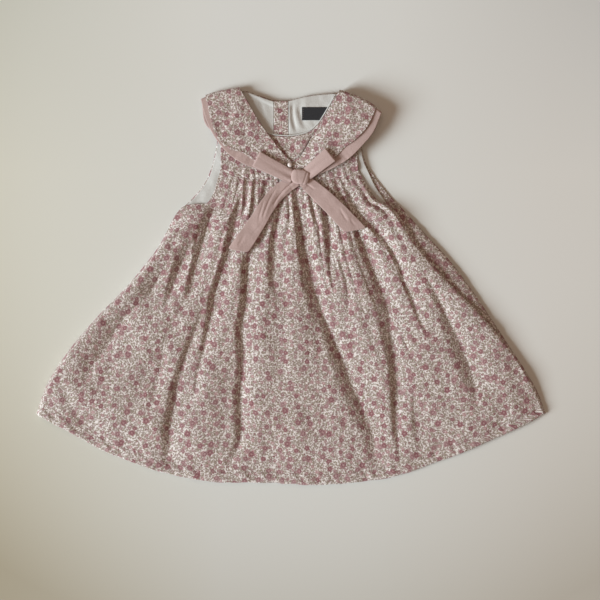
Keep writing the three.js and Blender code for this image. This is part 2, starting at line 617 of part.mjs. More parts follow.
// A bow tail: laid over the gathers, its end cut on a slant
function bowTail(rows) {
  const middle = curveOf(rows);
  const width = new THREE.CatmullRomCurve3(rows.map((row, i) => new THREE.Vector3(i, row.width, 0)));
  const heights = [];
  for (let i = 0; i <= TAIL_STEPS; i += 1) {
    const point = middle(i / TAIL_STEPS);
    const clearOfKnot = i < 2 ? BOW_SEAT - 0.6 * i : 0;
    heights.push(Math.max(skirtTopNear(point.x, point.y, TAIL_REACH) + SEAM, clearOfKnot));
  }
  const grid = heights.map((height, i) => {
    const t = i / TAIL_STEPS;
    const point = middle(t);
    const ahead = middle(Math.min(1, t + 0.02)).sub(middle(Math.max(0, t - 0.02))).normalize();
    const half = width.getPoint(t).y / 2;
    return [-1, -0.5, 0, 0.5, 1].map((side) => {
      const x = point.x - ahead.y * side * half;
      const y = point.y + ahead.x * side * half;
      return { lower: [x, y, height], upper: [x, y, height + CLOTH] };
    });
  });
  return wall(grid);
}

for (const side of ['left', 'right']) {
  addPiece(`bow_loop_${side}`, bowLoop(LOOPS[side]), PLAIN);
  addPiece(`bow_tail_${side}`, bowTail(TAILS[side]), PLAIN);
}

// Knot: a cushion-shaped wrap, flat underneath
function knot() {
  const geometry = new THREE.SphereGeometry(1, 20, 12);
  geometry.deleteAttribute('normal');
  geometry.deleteAttribute('uv');
  const position = geometry.attributes.position;
  const square = (value) => Math.sign(value) * Math.abs(value) ** 0.7;
  for (let i = 0; i < position.count; i += 1) {
    const [x, y, z] = [position.getX(i), position.getZ(i), position.getY(i)];
    position.setXYZ(i, square(x) * KNOT.width / 2, -square(y) * KNOT.depth / 2, square(z) * KNOT.height / 2);
  }
  return geometry;
}
const knotPiece = addPiece('bow_knot', knot(), PLAIN);
knotPiece.position.set(KNOT.x, KNOT.y, BOW_SEAT + KNOT.height / 2);
knotPiece.rotation.z = KNOT.turn;

// Pearl button at the point of the V, and the thread loop beside it
const collarTop = layerAt(4)(0, 140) + CLOTH + SEAM;
const pearl = addPiece('pearl_button', new THREE.SphereGeometry(PEARL.diameter / 2, 16, 10), PEARL_WHITE);
pearl.scale.z = PEARL.height / PEARL.diameter;
pearl.position.set(PEARL.x, PEARL.y, collarTop + PEARL.height / 2);

// The thread's middle line runs round a long oval
class OvalLoop extends THREE.Curve {
  getPoint(t) {
    const angle = 2 * Math.PI * t;
    const { length, width } = THREAD_LOOP;
    return new THREE.Vector3(length / 2 * Math.cos(angle), width / 2 * Math.sin(angle), 0);
  }
}

function threadRing() {
  const oval = new OvalLoop();
  const around = 28;
  const sides = 8;
  const positions = [];
  const faces = [];
  for (let i = 0; i < around; i += 1) {
    const centre = oval.getPoint(i / around);
    const ahead = oval.getTangent(i / around);
    for (let j = 0; j < sides; j += 1) {
      const angle = 2 * Math.PI * j / sides;
      const out = THREAD_LOOP.thread / 2 * Math.cos(angle);
      const z = THREAD_LOOP.thread / 2 * Math.sin(angle);
      positions.push(centre.x + ahead.y * out, centre.y - ahead.x * out, z);
      const here = i * sides;
      const next = ((i + 1) % around) * sides;
      const turn = (j + 1) % sides;
      faces.push(here + j, next + j, next + turn, here + j, next + turn, here + turn);
    }
  }
  if (enclosedVolume(positions, faces) < 0) faces.reverse();
  const geometry = new THREE.BufferGeometry();
  geometry.setAttribute('position', new THREE.Float32BufferAttribute(positions, 3));
  geometry.setIndex(faces);
  geometry.computeVertexNormals();
  return geometry;
}
const threadLoop = addPiece('thread_loop', threadRing(), THREAD);
threadLoop.rotation.z = THREAD_LOOP.turn;
threadLoop.position.set(THREAD_LOOP.x, THREAD_LOOP.y, collarTop + THREAD_LOOP.thread / 2);

// Origin: the middle of the footprint, on the surface
const box = new THREE.Box3().setFromObject(dress);
const middle = box.getCenter(new THREE.Vector3());
dress.position.set(-middle.x, -middle.y, -box.min.z);

export default dress;
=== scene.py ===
# %% [markdown]
# A toddler's sundress lies flat on a pale table, front up. This notebook dresses a plain
# solid model of it: every panel of cloth is drawn again as a fine surface on its solid's
# form, with its folds, gathers and print. We start with the frame, because it says where
# each piece is, and nothing is fitted afterwards.

# %% Load the frame
import math
from functools import partial
from types import SimpleNamespace

import bmesh
import bpy
import numpy as np
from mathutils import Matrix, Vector


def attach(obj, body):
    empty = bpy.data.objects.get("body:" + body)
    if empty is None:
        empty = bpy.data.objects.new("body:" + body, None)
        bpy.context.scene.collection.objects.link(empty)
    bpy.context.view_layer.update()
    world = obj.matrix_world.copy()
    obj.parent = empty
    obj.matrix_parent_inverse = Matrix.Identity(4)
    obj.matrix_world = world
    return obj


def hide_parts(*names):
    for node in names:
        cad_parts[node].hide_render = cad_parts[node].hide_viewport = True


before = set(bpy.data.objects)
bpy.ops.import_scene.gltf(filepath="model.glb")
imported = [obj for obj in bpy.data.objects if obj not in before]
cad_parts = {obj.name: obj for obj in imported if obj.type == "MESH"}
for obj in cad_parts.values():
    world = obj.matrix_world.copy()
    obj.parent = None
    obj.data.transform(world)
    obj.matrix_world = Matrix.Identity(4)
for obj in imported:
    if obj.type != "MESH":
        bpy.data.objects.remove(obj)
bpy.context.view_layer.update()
MM = 0.001

# %% [markdown]
# The camera looks straight down, as the picture does. The picture is square and shows 690 mm
# of the table, so the lens follows from the camera's height. The dress isn't quite in the
# middle of the picture, and neither is it here.

# %% Camera above the table
PICTURE_WIDTH = 690 * MM
PICTURE_MIDDLE = (10.35 * MM, -15.9 * MM)
CAMERA_HEIGHT = 1.6
SENSOR = 36.0

camera_data = bpy.data.cameras.new("camera_above")
camera_data.sensor_width = SENSOR
camera_data.lens = SENSOR * CAMERA_HEIGHT / PICTURE_WIDTH
camera = bpy.data.objects.new("camera_above", camera_data)
camera.location = (*PICTURE_MIDDLE, CAMERA_HEIGHT)
bpy.context.collection.objects.link(camera)
bpy.context.scene.camera = camera
bpy.context.scene.view_settings.view_transform = "Standard"
print("lens:", round(camera_data.lens, 1), "mm")

# %% [markdown]
# All sizes below are millimetres on the real dress, in the frame's own plan: x to the
# picture's right, y up to the neck. The layers of cloth are 1 mm walls with 0.3 mm between
# them, and the bodice climbs on to the back of the collar that lies under it. PLAN_SHIFT_Y
# moves the drawn plan on to the frame's origin.

# %% Layers and shared sizes
CLOTH = 1.0
SEAM = 0.3
LAYER = CLOTH + SEAM
RISE_FROM = 122
RISE_TO = 162
COLLAR_BACK = 2 * LAYER
PLAN_SHIFT_Y = 0.2
LINING_END_Y = 86


def step(value, low, high):
    """0 below low, 1 above high, smooth between."""
    t = np.clip((value - low) / (high - low), 0, 1)
    return t * t * (3 - 2 * t)


def rise(y):
    """How far the bodice has climbed on to the collar's back at this y."""
    return COLLAR_BACK * np.clip((y - RISE_FROM) / (RISE_TO - RISE_FROM), 0, 1)


def layer_top(number, y):
    """Upper face of a layer of the bodice, counted up from the back panel."""
    return number * LAYER + CLOTH + rise(y)


# %% [markdown]
# Cloth is never quite even, so most surfaces need gentle noise. This one is a lattice of
# seeded random heights with smooth blending between them. The lattice can be longer one way
# than the other, which gives creases a direction.

# %% Soft noise with a fixed seed
NOISE_CELLS = 128


def soft_noise(x, y, size_x, size_y, seed):
    """Smooth random values from -1 to 1, with bumps about size_x by size_y."""
    lattice = np.random.default_rng(seed).uniform(-1, 1, (NOISE_CELLS, NOISE_CELLS))
    gx = np.asarray(x) / size_x + 31.7
    gy = np.asarray(y) / size_y + 47.3
    ix = np.floor(gx).astype(int)
    iy = np.floor(gy).astype(int)
    fx = gx - ix
    fy = gy - iy
    fx = fx * fx * (3 - 2 * fx)
    fy = fy * fy * (3 - 2 * fy)
    x0, x1 = ix % NOISE_CELLS, (ix + 1) % NOISE_CELLS
    y0, y1 = iy % NOISE_CELLS, (iy + 1) % NOISE_CELLS
    low = lattice[x0, y0] * (1 - fx) + lattice[x1, y0] * fx
    high = lattice[x0, y1] * (1 - fx) + lattice[x1, y1] * fx
    return low * (1 - fy) + high * fy


# %% [markdown]
# A panel's edge is a smooth line through a few stations. The centripetal form of the
# Catmull-Rom curve never loops between uneven stations, so it suits edges drawn through listed stations.

# %% Smooth lines through stations
LINE_SAMPLES = 24


def line_samples(stations):
    """Many points along the smooth line, the same number for each stretch."""
    points = [np.array([*station[:2], 0.0]) for station in stations]
    points = [2 * points[0] - points[1], *points, 2 * points[-1] - points[-2]]
    out = []
    for a, b, c, d in zip(points, points[1:], points[2:], points[3:]):
        gaps = [max(np.linalg.norm(q - p), 1e-6) ** 0.5 for p, q in ((a, b), (b, c), (c, d))]
        start = (b - a) / gaps[0] - (c - a) / (gaps[0] + gaps[1]) + (c - b) / gaps[1]
        finish = (c - b) / gaps[1] - (d - b) / (gaps[1] + gaps[2]) + (d - c) / gaps[2]
        start, finish = start * gaps[1], finish * gaps[1]
        for i in range(LINE_SAMPLES):
            t = i / LINE_SAMPLES
            bend = (2 * b - 2 * c + start + finish) * t ** 3
            out.append(b + start * t + (3 * c - 3 * b - 2 * start - finish) * t ** 2 + bend)
    out.append(points[-2])
    return np.array(out)


def even_line(stations, count):
    """count points, evenly spaced along the smooth line."""
    samples = line_samples(stations)
    lengths = np.concatenate([[0], np.cumsum(np.linalg.norm(np.diff(samples, axis=0), axis=1))])
    places = np.linspace(0, lengths[-1], count)
    return np.stack([np.interp(places, lengths, samples[:, k]) for k in range(3)], axis=1)


def directions(route):
    """Unit directions along a route of points."""
    ahead = np.gradient(route, axis=0)
    return ahead / np.linalg.norm(ahead, axis=1, keepdims=True)


def station_line(stations, count):
    """count points that pass every station at its own share of the rows."""
    samples = line_samples(stations)
    shares = np.linspace(0, 1, len(samples))
    places = np.linspace(0, 1, count)
    return np.stack([np.interp(places, shares, samples[:, k]) for k in range(3)], axis=1)


# %% [markdown]
# Four edges make a panel: the points inside are blended from them, as a tailor's pattern
# piece is drawn from its outline. The rows run from the top edge down.

# %% Panels from four edges


def panel(top, bottom, left, right):
    """A grid of plan points between four edges with matching corners."""
    rows, columns = len(left), len(top)
    v = np.linspace(0, 1, rows)[:, None, None]
    u = np.linspace(0, 1, columns)[None, :, None]
    points = (1 - v) * top[None] + v * bottom[None] + (1 - u) * left[:, None] + u * right[:, None]
    points -= (1 - u) * (1 - v) * top[0] + u * (1 - v) * top[-1]
    points -= (1 - u) * v * bottom[0] + u * v * bottom[-1]
    return points


def grid_normals(points):
    """Unit normals of a grid, facing up where it starts."""
    down = np.gradient(points, axis=0)
    across = np.gradient(points, axis=1)
    normals = np.cross(down, across)
    normals /= np.maximum(np.linalg.norm(normals, axis=2, keepdims=True), 1e-9)
    if normals[1, normals.shape[1] // 2, 2] < 0:
        normals = -normals
    return normals


# %% [markdown]
# A sheet of cloth becomes a mesh with two faces and a rim, so that its edge shows its
# thickness. Each vertex also keeps its place on the flat cloth in millimetres. The print
# and the weave read that place, so they follow every fold as printed cloth does.

# %% Cloth meshes
SHELL_THICKNESS = 0.6


def place_on_cloth(points):
    """Where each point lies on the flat cloth: its plan, plus what slopes and folds take up."""
    excess = []
    for axis in (0, 1):
        steps = np.diff(points, axis=axis)
        extra = np.linalg.norm(steps, axis=2) - np.linalg.norm(steps[..., :2], axis=2)
        walked = np.cumsum(extra, axis=axis)
        start = np.zeros_like(np.take(walked, [0], axis=axis))
        excess.append(np.concatenate([start, walked], axis=axis))
    across = points[..., 0] + excess[1] - excess[1][:, [points.shape[1] // 2]]
    return np.stack([across, points[..., 1] - excess[0], np.zeros_like(across)], axis=2)


def lowest_near(heights, reach):
    """The lowest value within reach cells of each cell."""
    rows, columns = heights.shape
    padded = np.pad(heights, reach, mode="edge")
    span = range(2 * reach + 1)
    return np.min([padded[i:i + rows, j:j + columns] for i in span for j in span], axis=0)


def border(index):
    """The vertex numbers round a grid, once round."""
    return np.concatenate([index[0, :], index[1:, -1], index[-1, -2::-1], index[-2:0:-1, 0]])


def quads(index):
    """The faces of a grid of vertex numbers."""
    a, b, c, d = index[:-1, :-1], index[1:, :-1], index[1:, 1:], index[:-1, 1:]
    return np.stack([a, b, c, d], axis=2).reshape(-1, 4)


def finish_mesh(mesh, places=None):
    """An object from a mesh. places says where each vertex lies on the flat cloth."""
    if places is not None:
        layer = mesh.attributes.new("cloth_place", "FLOAT_VECTOR", "POINT")
        layer.data.foreach_set("vector", np.array(places, dtype=np.float32).ravel())
    mesh.shade_smooth()
    piece = bpy.data.objects.new(mesh.name, mesh)
    bpy.context.collection.objects.link(piece)
    return piece


def new_piece(name, points, faces, places):
    """A closed piece from plan points in mm and its faces, with all normals outward."""
    mesh = bpy.data.meshes.new(name)
    mesh.from_pydata(((points + [0, PLAN_SHIFT_Y, 0]) * MM).tolist(), [], faces)
    repair = bmesh.new()
    repair.from_mesh(mesh)
    bmesh.ops.recalc_face_normals(repair, faces=repair.faces)
    repair.to_mesh(mesh)
    repair.free()
    return finish_mesh(mesh, places)


def cloth_object(
        name, points, thickness=SHELL_THICKNESS, turned=False, place=None, print_shift=(0, 0), under_step=1):
    """A closed thin shell under a grid of points, with its place on the flat cloth.

    With under_step 3 the hidden underside has a third of the rows and columns, and it keeps
    below the lowest of the points near it."""
    rows, columns = points.shape[:2]
    normals = grid_normals(points) if turned else np.array([0.0, 0.0, 1.0])
    under = points - normals * thickness
    if under_step > 1:
        under[..., 2] = np.maximum(lowest_near(under[..., 2], under_step), 0.2)
        under[..., 2] = np.minimum(under[..., 2], points[..., 2] - 0.2)
    place = place_on_cloth(points) if place is None else place
    place = place + [*print_shift, 0]
    under = under[::under_step, ::under_step]
    index = np.arange(rows * columns).reshape(rows, columns)
    under_index = rows * columns + np.arange(under.shape[0] * under.shape[1]).reshape(under.shape[:2])
    edge, under_edge = border(index), border(under_index)
    rim = []
    for i, low in enumerate(under_edge):
        nearest = [edge[(i * under_step + k) % len(edge)] for k in range(under_step + 1)]
        rim.append([*nearest, under_edge[(i + 1) % len(under_edge)], low])
    faces = quads(index).tolist() + quads(under_index)[:, ::-1].tolist() + rim
    both = np.concatenate([points.reshape(-1, 3), under.reshape(-1, 3)])
    places = np.concatenate([place.reshape(-1, 3), place[::under_step, ::under_step].reshape(-1, 3)])
    piece = new_piece(name, both, faces, places)
    return piece


def settle(piece, material, nodes):
    """Gives a piece its material and its body, and hides the solids it stands for."""
    piece.data.materials.append(material)
    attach(piece, "root")
    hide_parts(*nodes)
    print(piece.name, "faces:", len(piece.data.polygons))
    return piece


# %% [markdown]
# Every finish here is a small graph of shader nodes. Placing and joining them by hand takes
# many lines, so a few helpers do it, and a formula then reads almost as it does on paper.

# %% Helpers for shader nodes


def new_group(name, numbers, results, kind="NodeSocketFloat"):
    """A shader group that reads a Place and some numbers, and its maths nodes and two ends."""
    group = bpy.data.node_groups.new(name, "ShaderNodeTree")
    group.interface.new_socket("Place", in_out="INPUT", socket_type="NodeSocketVector")
    for label, value in numbers.items():
        socket = group.interface.new_socket(label, in_out="INPUT", socket_type="NodeSocketFloat")
        socket.default_value = value
    for label in results:
        group.interface.new_socket(label, in_out="OUTPUT", socket_type=kind)
    source = group.nodes.new("NodeGroupInput")
    return group, calc_for(group), source, group.nodes.new("NodeGroupOutput")


def give_out(group, result, values):
    """Joins each value to the group's output of that name."""
    for label, value in values.items():
        group.links.new(value, result.inputs[label])


def inner_group(tree, node_tree, values):
    """A shader group placed in a tree, with each input set to a number or joined to a socket."""
    node = tree.nodes.new("ShaderNodeGroup")
    node.node_tree = node_tree
    for label, value in values.items():
        if isinstance(value, bpy.types.NodeSocket):
            tree.links.new(value, node.inputs[label])
        else:
            node.inputs[label].default_value = value
    return node


def math_node(tree, operation, first, second=None, clamp=False):
    """One maths node. Each operand is a number or a socket."""
    node = tree.nodes.new("ShaderNodeMath")
    node.operation = operation
    node.use_clamp = clamp
    for slot_number, operand in enumerate((first, second)):
        if operand is None:
            continue
        if isinstance(operand, (int, float)):
            node.inputs[slot_number].default_value = operand
        else:
            tree.links.new(operand, node.inputs[slot_number])
    return node.outputs[0]


def calc_for(tree):
    """The maths nodes of one tree, each under its own name."""
    words = ("add", "subtract", "multiply", "divide", "sine", "cosine", "arctan2", "sqrt", "absolute",
             "less_than")
    return SimpleNamespace(**{word: partial(math_node, tree, word.upper()) for word in words})


def mix_colors(tree, factor, first, second, blend="MIX"):
    """A colour mix. The factor and the colours are values or sockets."""
    node = tree.nodes.new("ShaderNodeMix")
    node.data_type = "RGBA"
    node.blend_type = blend
    for socket, value in ((node.inputs[0], factor), (node.inputs[6], first), (node.inputs[7], second)):
        if isinstance(value, bpy.types.NodeSocket):
            tree.links.new(value, socket)
        else:
            socket.default_value = value
    return node.outputs[2]


def vector_node(tree, operation, first, second=None, scale=None):
    """One vector maths node."""
    node = tree.nodes.new("ShaderNodeVectorMath")
    node.operation = operation
    tree.links.new(first, node.inputs[0])
    if isinstance(second, bpy.types.NodeSocket):
        tree.links.new(second, node.inputs[1])
    elif second is not None:
        node.inputs[1].default_value = second
    if scale is not None:
        node.inputs["Scale"].default_value = scale
    return node


def noise_node(tree, vector, scale, detail=2.0, roughness=0.5):
    """A noise texture read at a vector."""
    node = tree.nodes.new("ShaderNodeTexNoise")
    node.inputs["Scale"].default_value = scale
    node.inputs["Detail"].default_value = detail
    node.inputs["Roughness"].default_value = roughness
    tree.links.new(vector, node.inputs["Vector"])
    return node

# %% [markdown]
# The weave is the first shared finish. A plain weave is threads over and under each other,
# so two waves at right angles, one shifted by half a thread, make its height. The group gives
# out a height for the bump and a tint from its slub noise, painted shade that darkens the
# low spots a little.

# %% Weave group


def build_weave():
    """Plain weave: Height for the bump, and Tint for the colour, painted shade in its low spots."""
    group, calc, source, result = new_group("plain_weave", {"Threads per mm": 2.6}, ("Height", "Tint"))
    parts = group.nodes.new("ShaderNodeSeparateXYZ")
    group.links.new(source.outputs["Place"], parts.inputs[0])
    turns = calc.multiply(source.outputs["Threads per mm"], math.pi)
    warp = calc.sine(calc.multiply(parts.outputs[0], turns))
    weft = calc.sine(calc.multiply(parts.outputs[1], turns))
    over = calc.multiply(warp, weft)
    slub = noise_node(group, source.outputs["Place"], 0.9, 3.0, 0.6).outputs[0]
    height = calc.add(calc.multiply(over, 0.35), slub)
    # Painted shade: the tint is darker where the slub noise, and so the bump, is low.
    tint = calc.add(0.86, calc.multiply(slub, 0.28))
    give_out(group, result, dict(Height=height, Tint=tint))
    return group


WEAVE = build_weave()
print("weave group:", len(WEAVE.nodes), "nodes")

# %% [markdown]
# The print is a common scattered floral: small roses, paler blossoms, buds, little leaves
# and thin stems on cream. None of it is traced. Cells of a Voronoi texture place one motif
# each, and the way from the cell's own point gives the motif its angle and radius. The first
# group only finds that way. The leaf and flower groups turn it into shapes.

# %% Motif cells


def build_cells():
    """Gives each place its nearest motif: X and Y on the motif in mm, and three random picks."""
    group, calc, source, result = new_group(
        "motif_cells", dict(Spacing=10.0), ("X", "Y", "Pick A", "Pick B", "Pick C"))
    cells = group.nodes.new("ShaderNodeTexVoronoi")
    cells.voronoi_dimensions = "2D"
    cells.inputs["Scale"].default_value = 1.0
    cells.inputs["Randomness"].default_value = 0.88
    shrink = group.nodes.new("ShaderNodeVectorMath")
    shrink.operation = "SCALE"
    group.links.new(source.outputs["Place"], shrink.inputs[0])
    group.links.new(calc.divide(1.0, source.outputs["Spacing"]), shrink.inputs["Scale"])
    group.links.new(shrink.outputs[0], cells.inputs["Vector"])
    away = vector_node(group, "SUBTRACT", shrink.outputs[0], cells.outputs["Position"])
    pick = group.nodes.new("ShaderNodeSeparateColor")
    group.links.new(cells.outputs["Color"], pick.inputs[0])
    turn = group.nodes.new("ShaderNodeVectorRotate")
    turn.rotation_type = "Z_AXIS"
    group.links.new(away.outputs[0], turn.inputs["Vector"])
    group.links.new(calc.multiply(pick.outputs[0], 6.283), turn.inputs["Angle"])
    parts = group.nodes.new("ShaderNodeSeparateXYZ")
    group.links.new(turn.outputs[0], parts.inputs[0])
    for axis in range(2):
        real = calc.multiply(parts.outputs[axis], source.outputs["Spacing"])
        group.links.new(real, result.inputs[axis])
    for channel in range(3):
        group.links.new(pick.outputs[channel], result.inputs[2 + channel])
    return group


CELLS = build_cells()
print("cell group:", len(CELLS.nodes), "nodes")

# %% [markdown]
# A leaf is pointed at both ends, so its width falls with the square of the way along it. A
# flower's edge is a circle that swells once for each petal, and a darker ring and a heart lie
# inside it.

# %% Leaves and flowers


def cells_in(group, source):
    """The cell group placed inside another group."""
    return inner_group(group, CELLS, {label: source.outputs[label] for label in ("Place", "Spacing")})


def build_leaf():
    """Pointed leaves: Mask, Vein and a random Pick for the tone."""
    group, calc, source, result = new_group(
        "scattered_leaf", dict(Spacing=2.0, Length=1.4, Width=0.7, Share=0.9, Softness=0.2),
        ("Mask", "Vein", "Pick"))
    cells = cells_in(group, source)
    x_share = calc.divide(cells.outputs["X"], source.outputs["Length"])
    taper = calc.subtract(1.0, calc.multiply(x_share, x_share))
    reach = calc.multiply(taper, source.outputs["Width"])
    off = calc.absolute(cells.outputs["Y"])
    inside = calc.divide(calc.subtract(reach, off), source.outputs["Softness"], True)
    here = calc.less_than(cells.outputs["Pick C"], source.outputs["Share"])
    mask = calc.multiply(inside, here)
    vein = calc.multiply(calc.less_than(off, 0.11), mask)
    give_out(group, result, dict(Mask=mask, Vein=vein, Pick=cells.outputs["Pick B"]))
    return group


def build_flower():
    """Round flowers with petals: Mask, a dark Ring, a Heart and a random Pick."""
    group, calc, source, result = new_group(
        "scattered_flower",
        {"Spacing": 10.0, "Size": 2.5, "Petals": 5.0, "Petal depth": 0.2, "Share": 0.8, "Softness": 0.35},
        ("Mask", "Ring", "Heart", "Pick"))
    cells = cells_in(group, source)
    x, y = cells.outputs["X"], cells.outputs["Y"]
    square = calc.add(calc.multiply(x, x), calc.multiply(y, y))
    radius = calc.sqrt(square)
    angle = calc.arctan2(y, x)
    lobes = calc.cosine(calc.multiply(angle, source.outputs["Petals"]))
    reach = calc.add(1.0, calc.multiply(lobes, source.outputs["Petal depth"]))
    vary = calc.add(0.78, calc.multiply(cells.outputs["Pick B"], 0.42))
    size = calc.multiply(source.outputs["Size"], vary)
    edge = calc.multiply(size, reach)
    inside = calc.divide(calc.subtract(edge, radius), source.outputs["Softness"], True)
    here = calc.less_than(cells.outputs["Pick C"], source.outputs["Share"])
    mask = calc.multiply(inside, here)
    share = calc.divide(radius, size)
    from_ring = calc.absolute(calc.subtract(share, 0.52))
    ring = calc.subtract(1.0, calc.divide(from_ring, 0.2), True)
    split = calc.add(0.7, calc.multiply(lobes, -0.3))
    ring = calc.multiply(ring, split)
    heart = calc.subtract(1.0, calc.divide(share, 0.26), True)
    give_out(group, result, dict(
        Mask=mask, Ring=calc.multiply(ring, mask), Heart=calc.multiply(heart, mask),
        Pick=cells.outputs["Pick A"]))
    return group


LEAF = build_leaf()
FLOWER = build_flower()
print("leaf and flower groups:", len(LEAF.nodes), len(FLOWER.nodes), "nodes")

# %% [markdown]
# The print group lays these over each other from the ground up: two dense layers of leaves,
# thin stems, pale blossoms, buds and the roses. Each layer is moved, so that they don't line up.

# %% Print group
CREAM = (0.82, 0.765, 0.735, 1)
TAUPE = (0.32, 0.25, 0.205, 1)
OLIVE = (0.265, 0.215, 0.14, 1)
HEATHER = (0.345, 0.23, 0.225, 1)
ROSE = (0.328, 0.156, 0.161, 1)
PLUM = (0.17, 0.064, 0.08, 1)
BLUSH = (0.54, 0.355, 0.35, 1)
DUSTY = (0.445, 0.288, 0.287, 1)
MAUVE = (0.53, 0.39, 0.362, 1)

# Spacing, half length, half width, share and softness in mm, then two tones
LEAF_LAYERS = [
    (2.35, 1.75, 0.84, 0.94, 0.22, TAUPE, HEATHER),
    (3.30, 2.15, 0.82, 0.80, 0.22, TAUPE, OLIVE),
]
# Spacing, radius, petals, petal depth, share, softness, two tones, ring and heart
FLOWER_LAYERS = [
    (7.4, 2.1, 5, 0.20, 0.66, 0.5, BLUSH, HEATHER, ROSE, CREAM),
    (5.9, 1.05, 3, 0.16, 0.50, 0.4, ROSE, HEATHER, PLUM, PLUM),
    (12.6, 3.4, 5, 0.14, 0.86, 0.6, ROSE, DUSTY, PLUM, BLUSH),
]


def add_layer(tree, node_tree, place, number, values):
    """Places one motif layer in a tree, moved by its number."""
    moved = vector_node(tree, "ADD", place, (37.0 * number, 53.0 * number, 0))
    return inner_group(tree, node_tree, {"Place": moved.outputs[0], **values})


def build_print():
    """The whole scattered floral as one colour."""
    group, calc, source, result = new_group("scattered_floral", {}, ("Color",), "NodeSocketColor")
    place = source.outputs["Place"]
    wander = noise_node(group, place, 0.38, 2.0)
    bend = vector_node(group, "SUBTRACT", wander.outputs["Color"], (0.5, 0.5, 0.5))
    bend = vector_node(group, "SCALE", bend.outputs[0], scale=2.6)
    bent = vector_node(group, "ADD", place, bend.outputs[0]).outputs[0]
    color = CREAM
    for number, spec in enumerate(LEAF_LAYERS, 1):
        spacing, length, width, share, softness, first, second = spec
        leaf = add_layer(group, LEAF, bent, number, dict(
            Spacing=spacing, Length=length, Width=width, Share=share, Softness=softness))
        tone = mix_colors(group, leaf.outputs["Pick"], first, second)
        tone = mix_colors(group, calc.multiply(leaf.outputs["Vein"], 0.5), tone, CREAM)
        color = mix_colors(group, leaf.outputs["Mask"], color, tone)
    stems = noise_node(group, bent, 0.30, 1.0, 0.6).outputs[0]
    ridge = calc.absolute(calc.subtract(stems, 0.5))
    stem = calc.subtract(1.0, calc.divide(ridge, 0.022), True)
    color = mix_colors(group, calc.multiply(stem, 0.7), color, OLIVE)
    for number, spec in enumerate(FLOWER_LAYERS, 4):
        spacing, size, petals, depth, share, softness, first, second, ring, heart = spec
        flower = add_layer(group, FLOWER, bent, number, {
            "Spacing": spacing, "Size": size, "Petals": petals, "Petal depth": depth,
            "Share": share, "Softness": softness})
        tone = mix_colors(group, flower.outputs["Pick"], first, second)
        tone = mix_colors(group, flower.outputs["Ring"], tone, ring)
        tone = mix_colors(group, flower.outputs["Heart"], tone, heart)
        color = mix_colors(group, flower.outputs["Mask"], color, tone)
    give_out(group, result, dict(Color=color))
    return group


FLORAL = build_print()
print("print group:", len(FLORAL.nodes), "nodes")

# %% [markdown]
# Each material keeps its own Principled shader. Cotton is rough with a faint sheen, and its
# bump comes from the weave and from fine crinkles that are too small to model.

# %% Cloth materials


def new_material(name, shader_inputs):
    """A material with its own Principled shader, and the maths nodes of its tree."""
    material = bpy.data.materials.new(name)
    material.use_nodes = True
    tree = material.node_tree
    shader = tree.nodes["Principled BSDF"]
    for label, value in shader_inputs.items():
        shader.inputs[label].default_value = value
    return material, tree, shader, calc_for(tree)


def cloth_material(name, color=None, threads=2.6, crinkle=0.35, sheen=0.15, roughness=0.85, fade=0.10):
    """Woven cotton: plain in the given colour, or printed if there is none."""
    material, tree, shader, calc = new_material(name, {
        "Roughness": roughness, "Sheen Weight": sheen, "Sheen Roughness": 0.6, "Specular IOR Level": 0.2})
    place = tree.nodes.new("ShaderNodeAttribute")
    place.attribute_name = "cloth_place"
    weave = inner_group(tree, WEAVE, {"Place": place.outputs["Vector"], "Threads per mm": threads})
    base = color
    if color is None:
        base = inner_group(tree, FLORAL, dict(Place=place.outputs["Vector"])).outputs["Color"]
    # Random patches fade the colour a little, and the weave's tint brings its painted shade.
    patch = noise_node(tree, place.outputs["Vector"], 0.035, 3.0).outputs[0]
    wear_and_painted_shade = calc.add(1.0 - fade, calc.multiply(patch, 2 * fade))
    tint = calc.multiply(weave.outputs["Tint"], wear_and_painted_shade)
    gray = tree.nodes.new("ShaderNodeCombineColor")
    for channel in range(3):
        tree.links.new(tint, gray.inputs[channel])
    tree.links.new(mix_colors(tree, 1.0, base, gray.outputs[0], "MULTIPLY"), shader.inputs["Base Color"])
    crinkles = noise_node(tree, place.outputs["Vector"], 0.45, 3.0, 0.55).outputs[0]
    height = calc.add(calc.multiply(weave.outputs["Height"], 0.12), calc.multiply(crinkles, crinkle))
    bump = tree.nodes.new("ShaderNodeBump")
    bump.inputs["Strength"].default_value = 0.6
    bump.inputs["Distance"].default_value = 1.0 * MM
    tree.links.new(height, bump.inputs["Height"])
    tree.links.new(bump.outputs[0], shader.inputs["Normal"])
    return material


PRINTED = cloth_material("printed_cotton", crinkle=0.8)
PLAIN = cloth_material("mauve_cotton", MAUVE, crinkle=0.5, fade=0.08)
LINING = cloth_material("white_lining", (0.655, 0.655, 0.63, 1), crinkle=0.4, fade=0.05)
TAB = cloth_material(
    "label_weave", (0.016, 0.016, 0.02, 1), threads=4.5, crinkle=0.1, sheen=0.3, roughness=0.6)
LOOP_THREAD = cloth_material("loop_thread", (0.72, 0.66, 0.60, 1), threads=5.0, crinkle=0.1)
print("cloth materials:", [m.name for m in (PRINTED, PLAIN, LINING, TAB, LOOP_THREAD)])

# %% [markdown]
# The skirt front carries the look of the dress. Its long folds and short gathers run down
# from the seam, and they are listed here one by one. Light comes from the left, and each fold
# slopes down to the right into a crease and then climbs, so its sloping wall is the dark band.

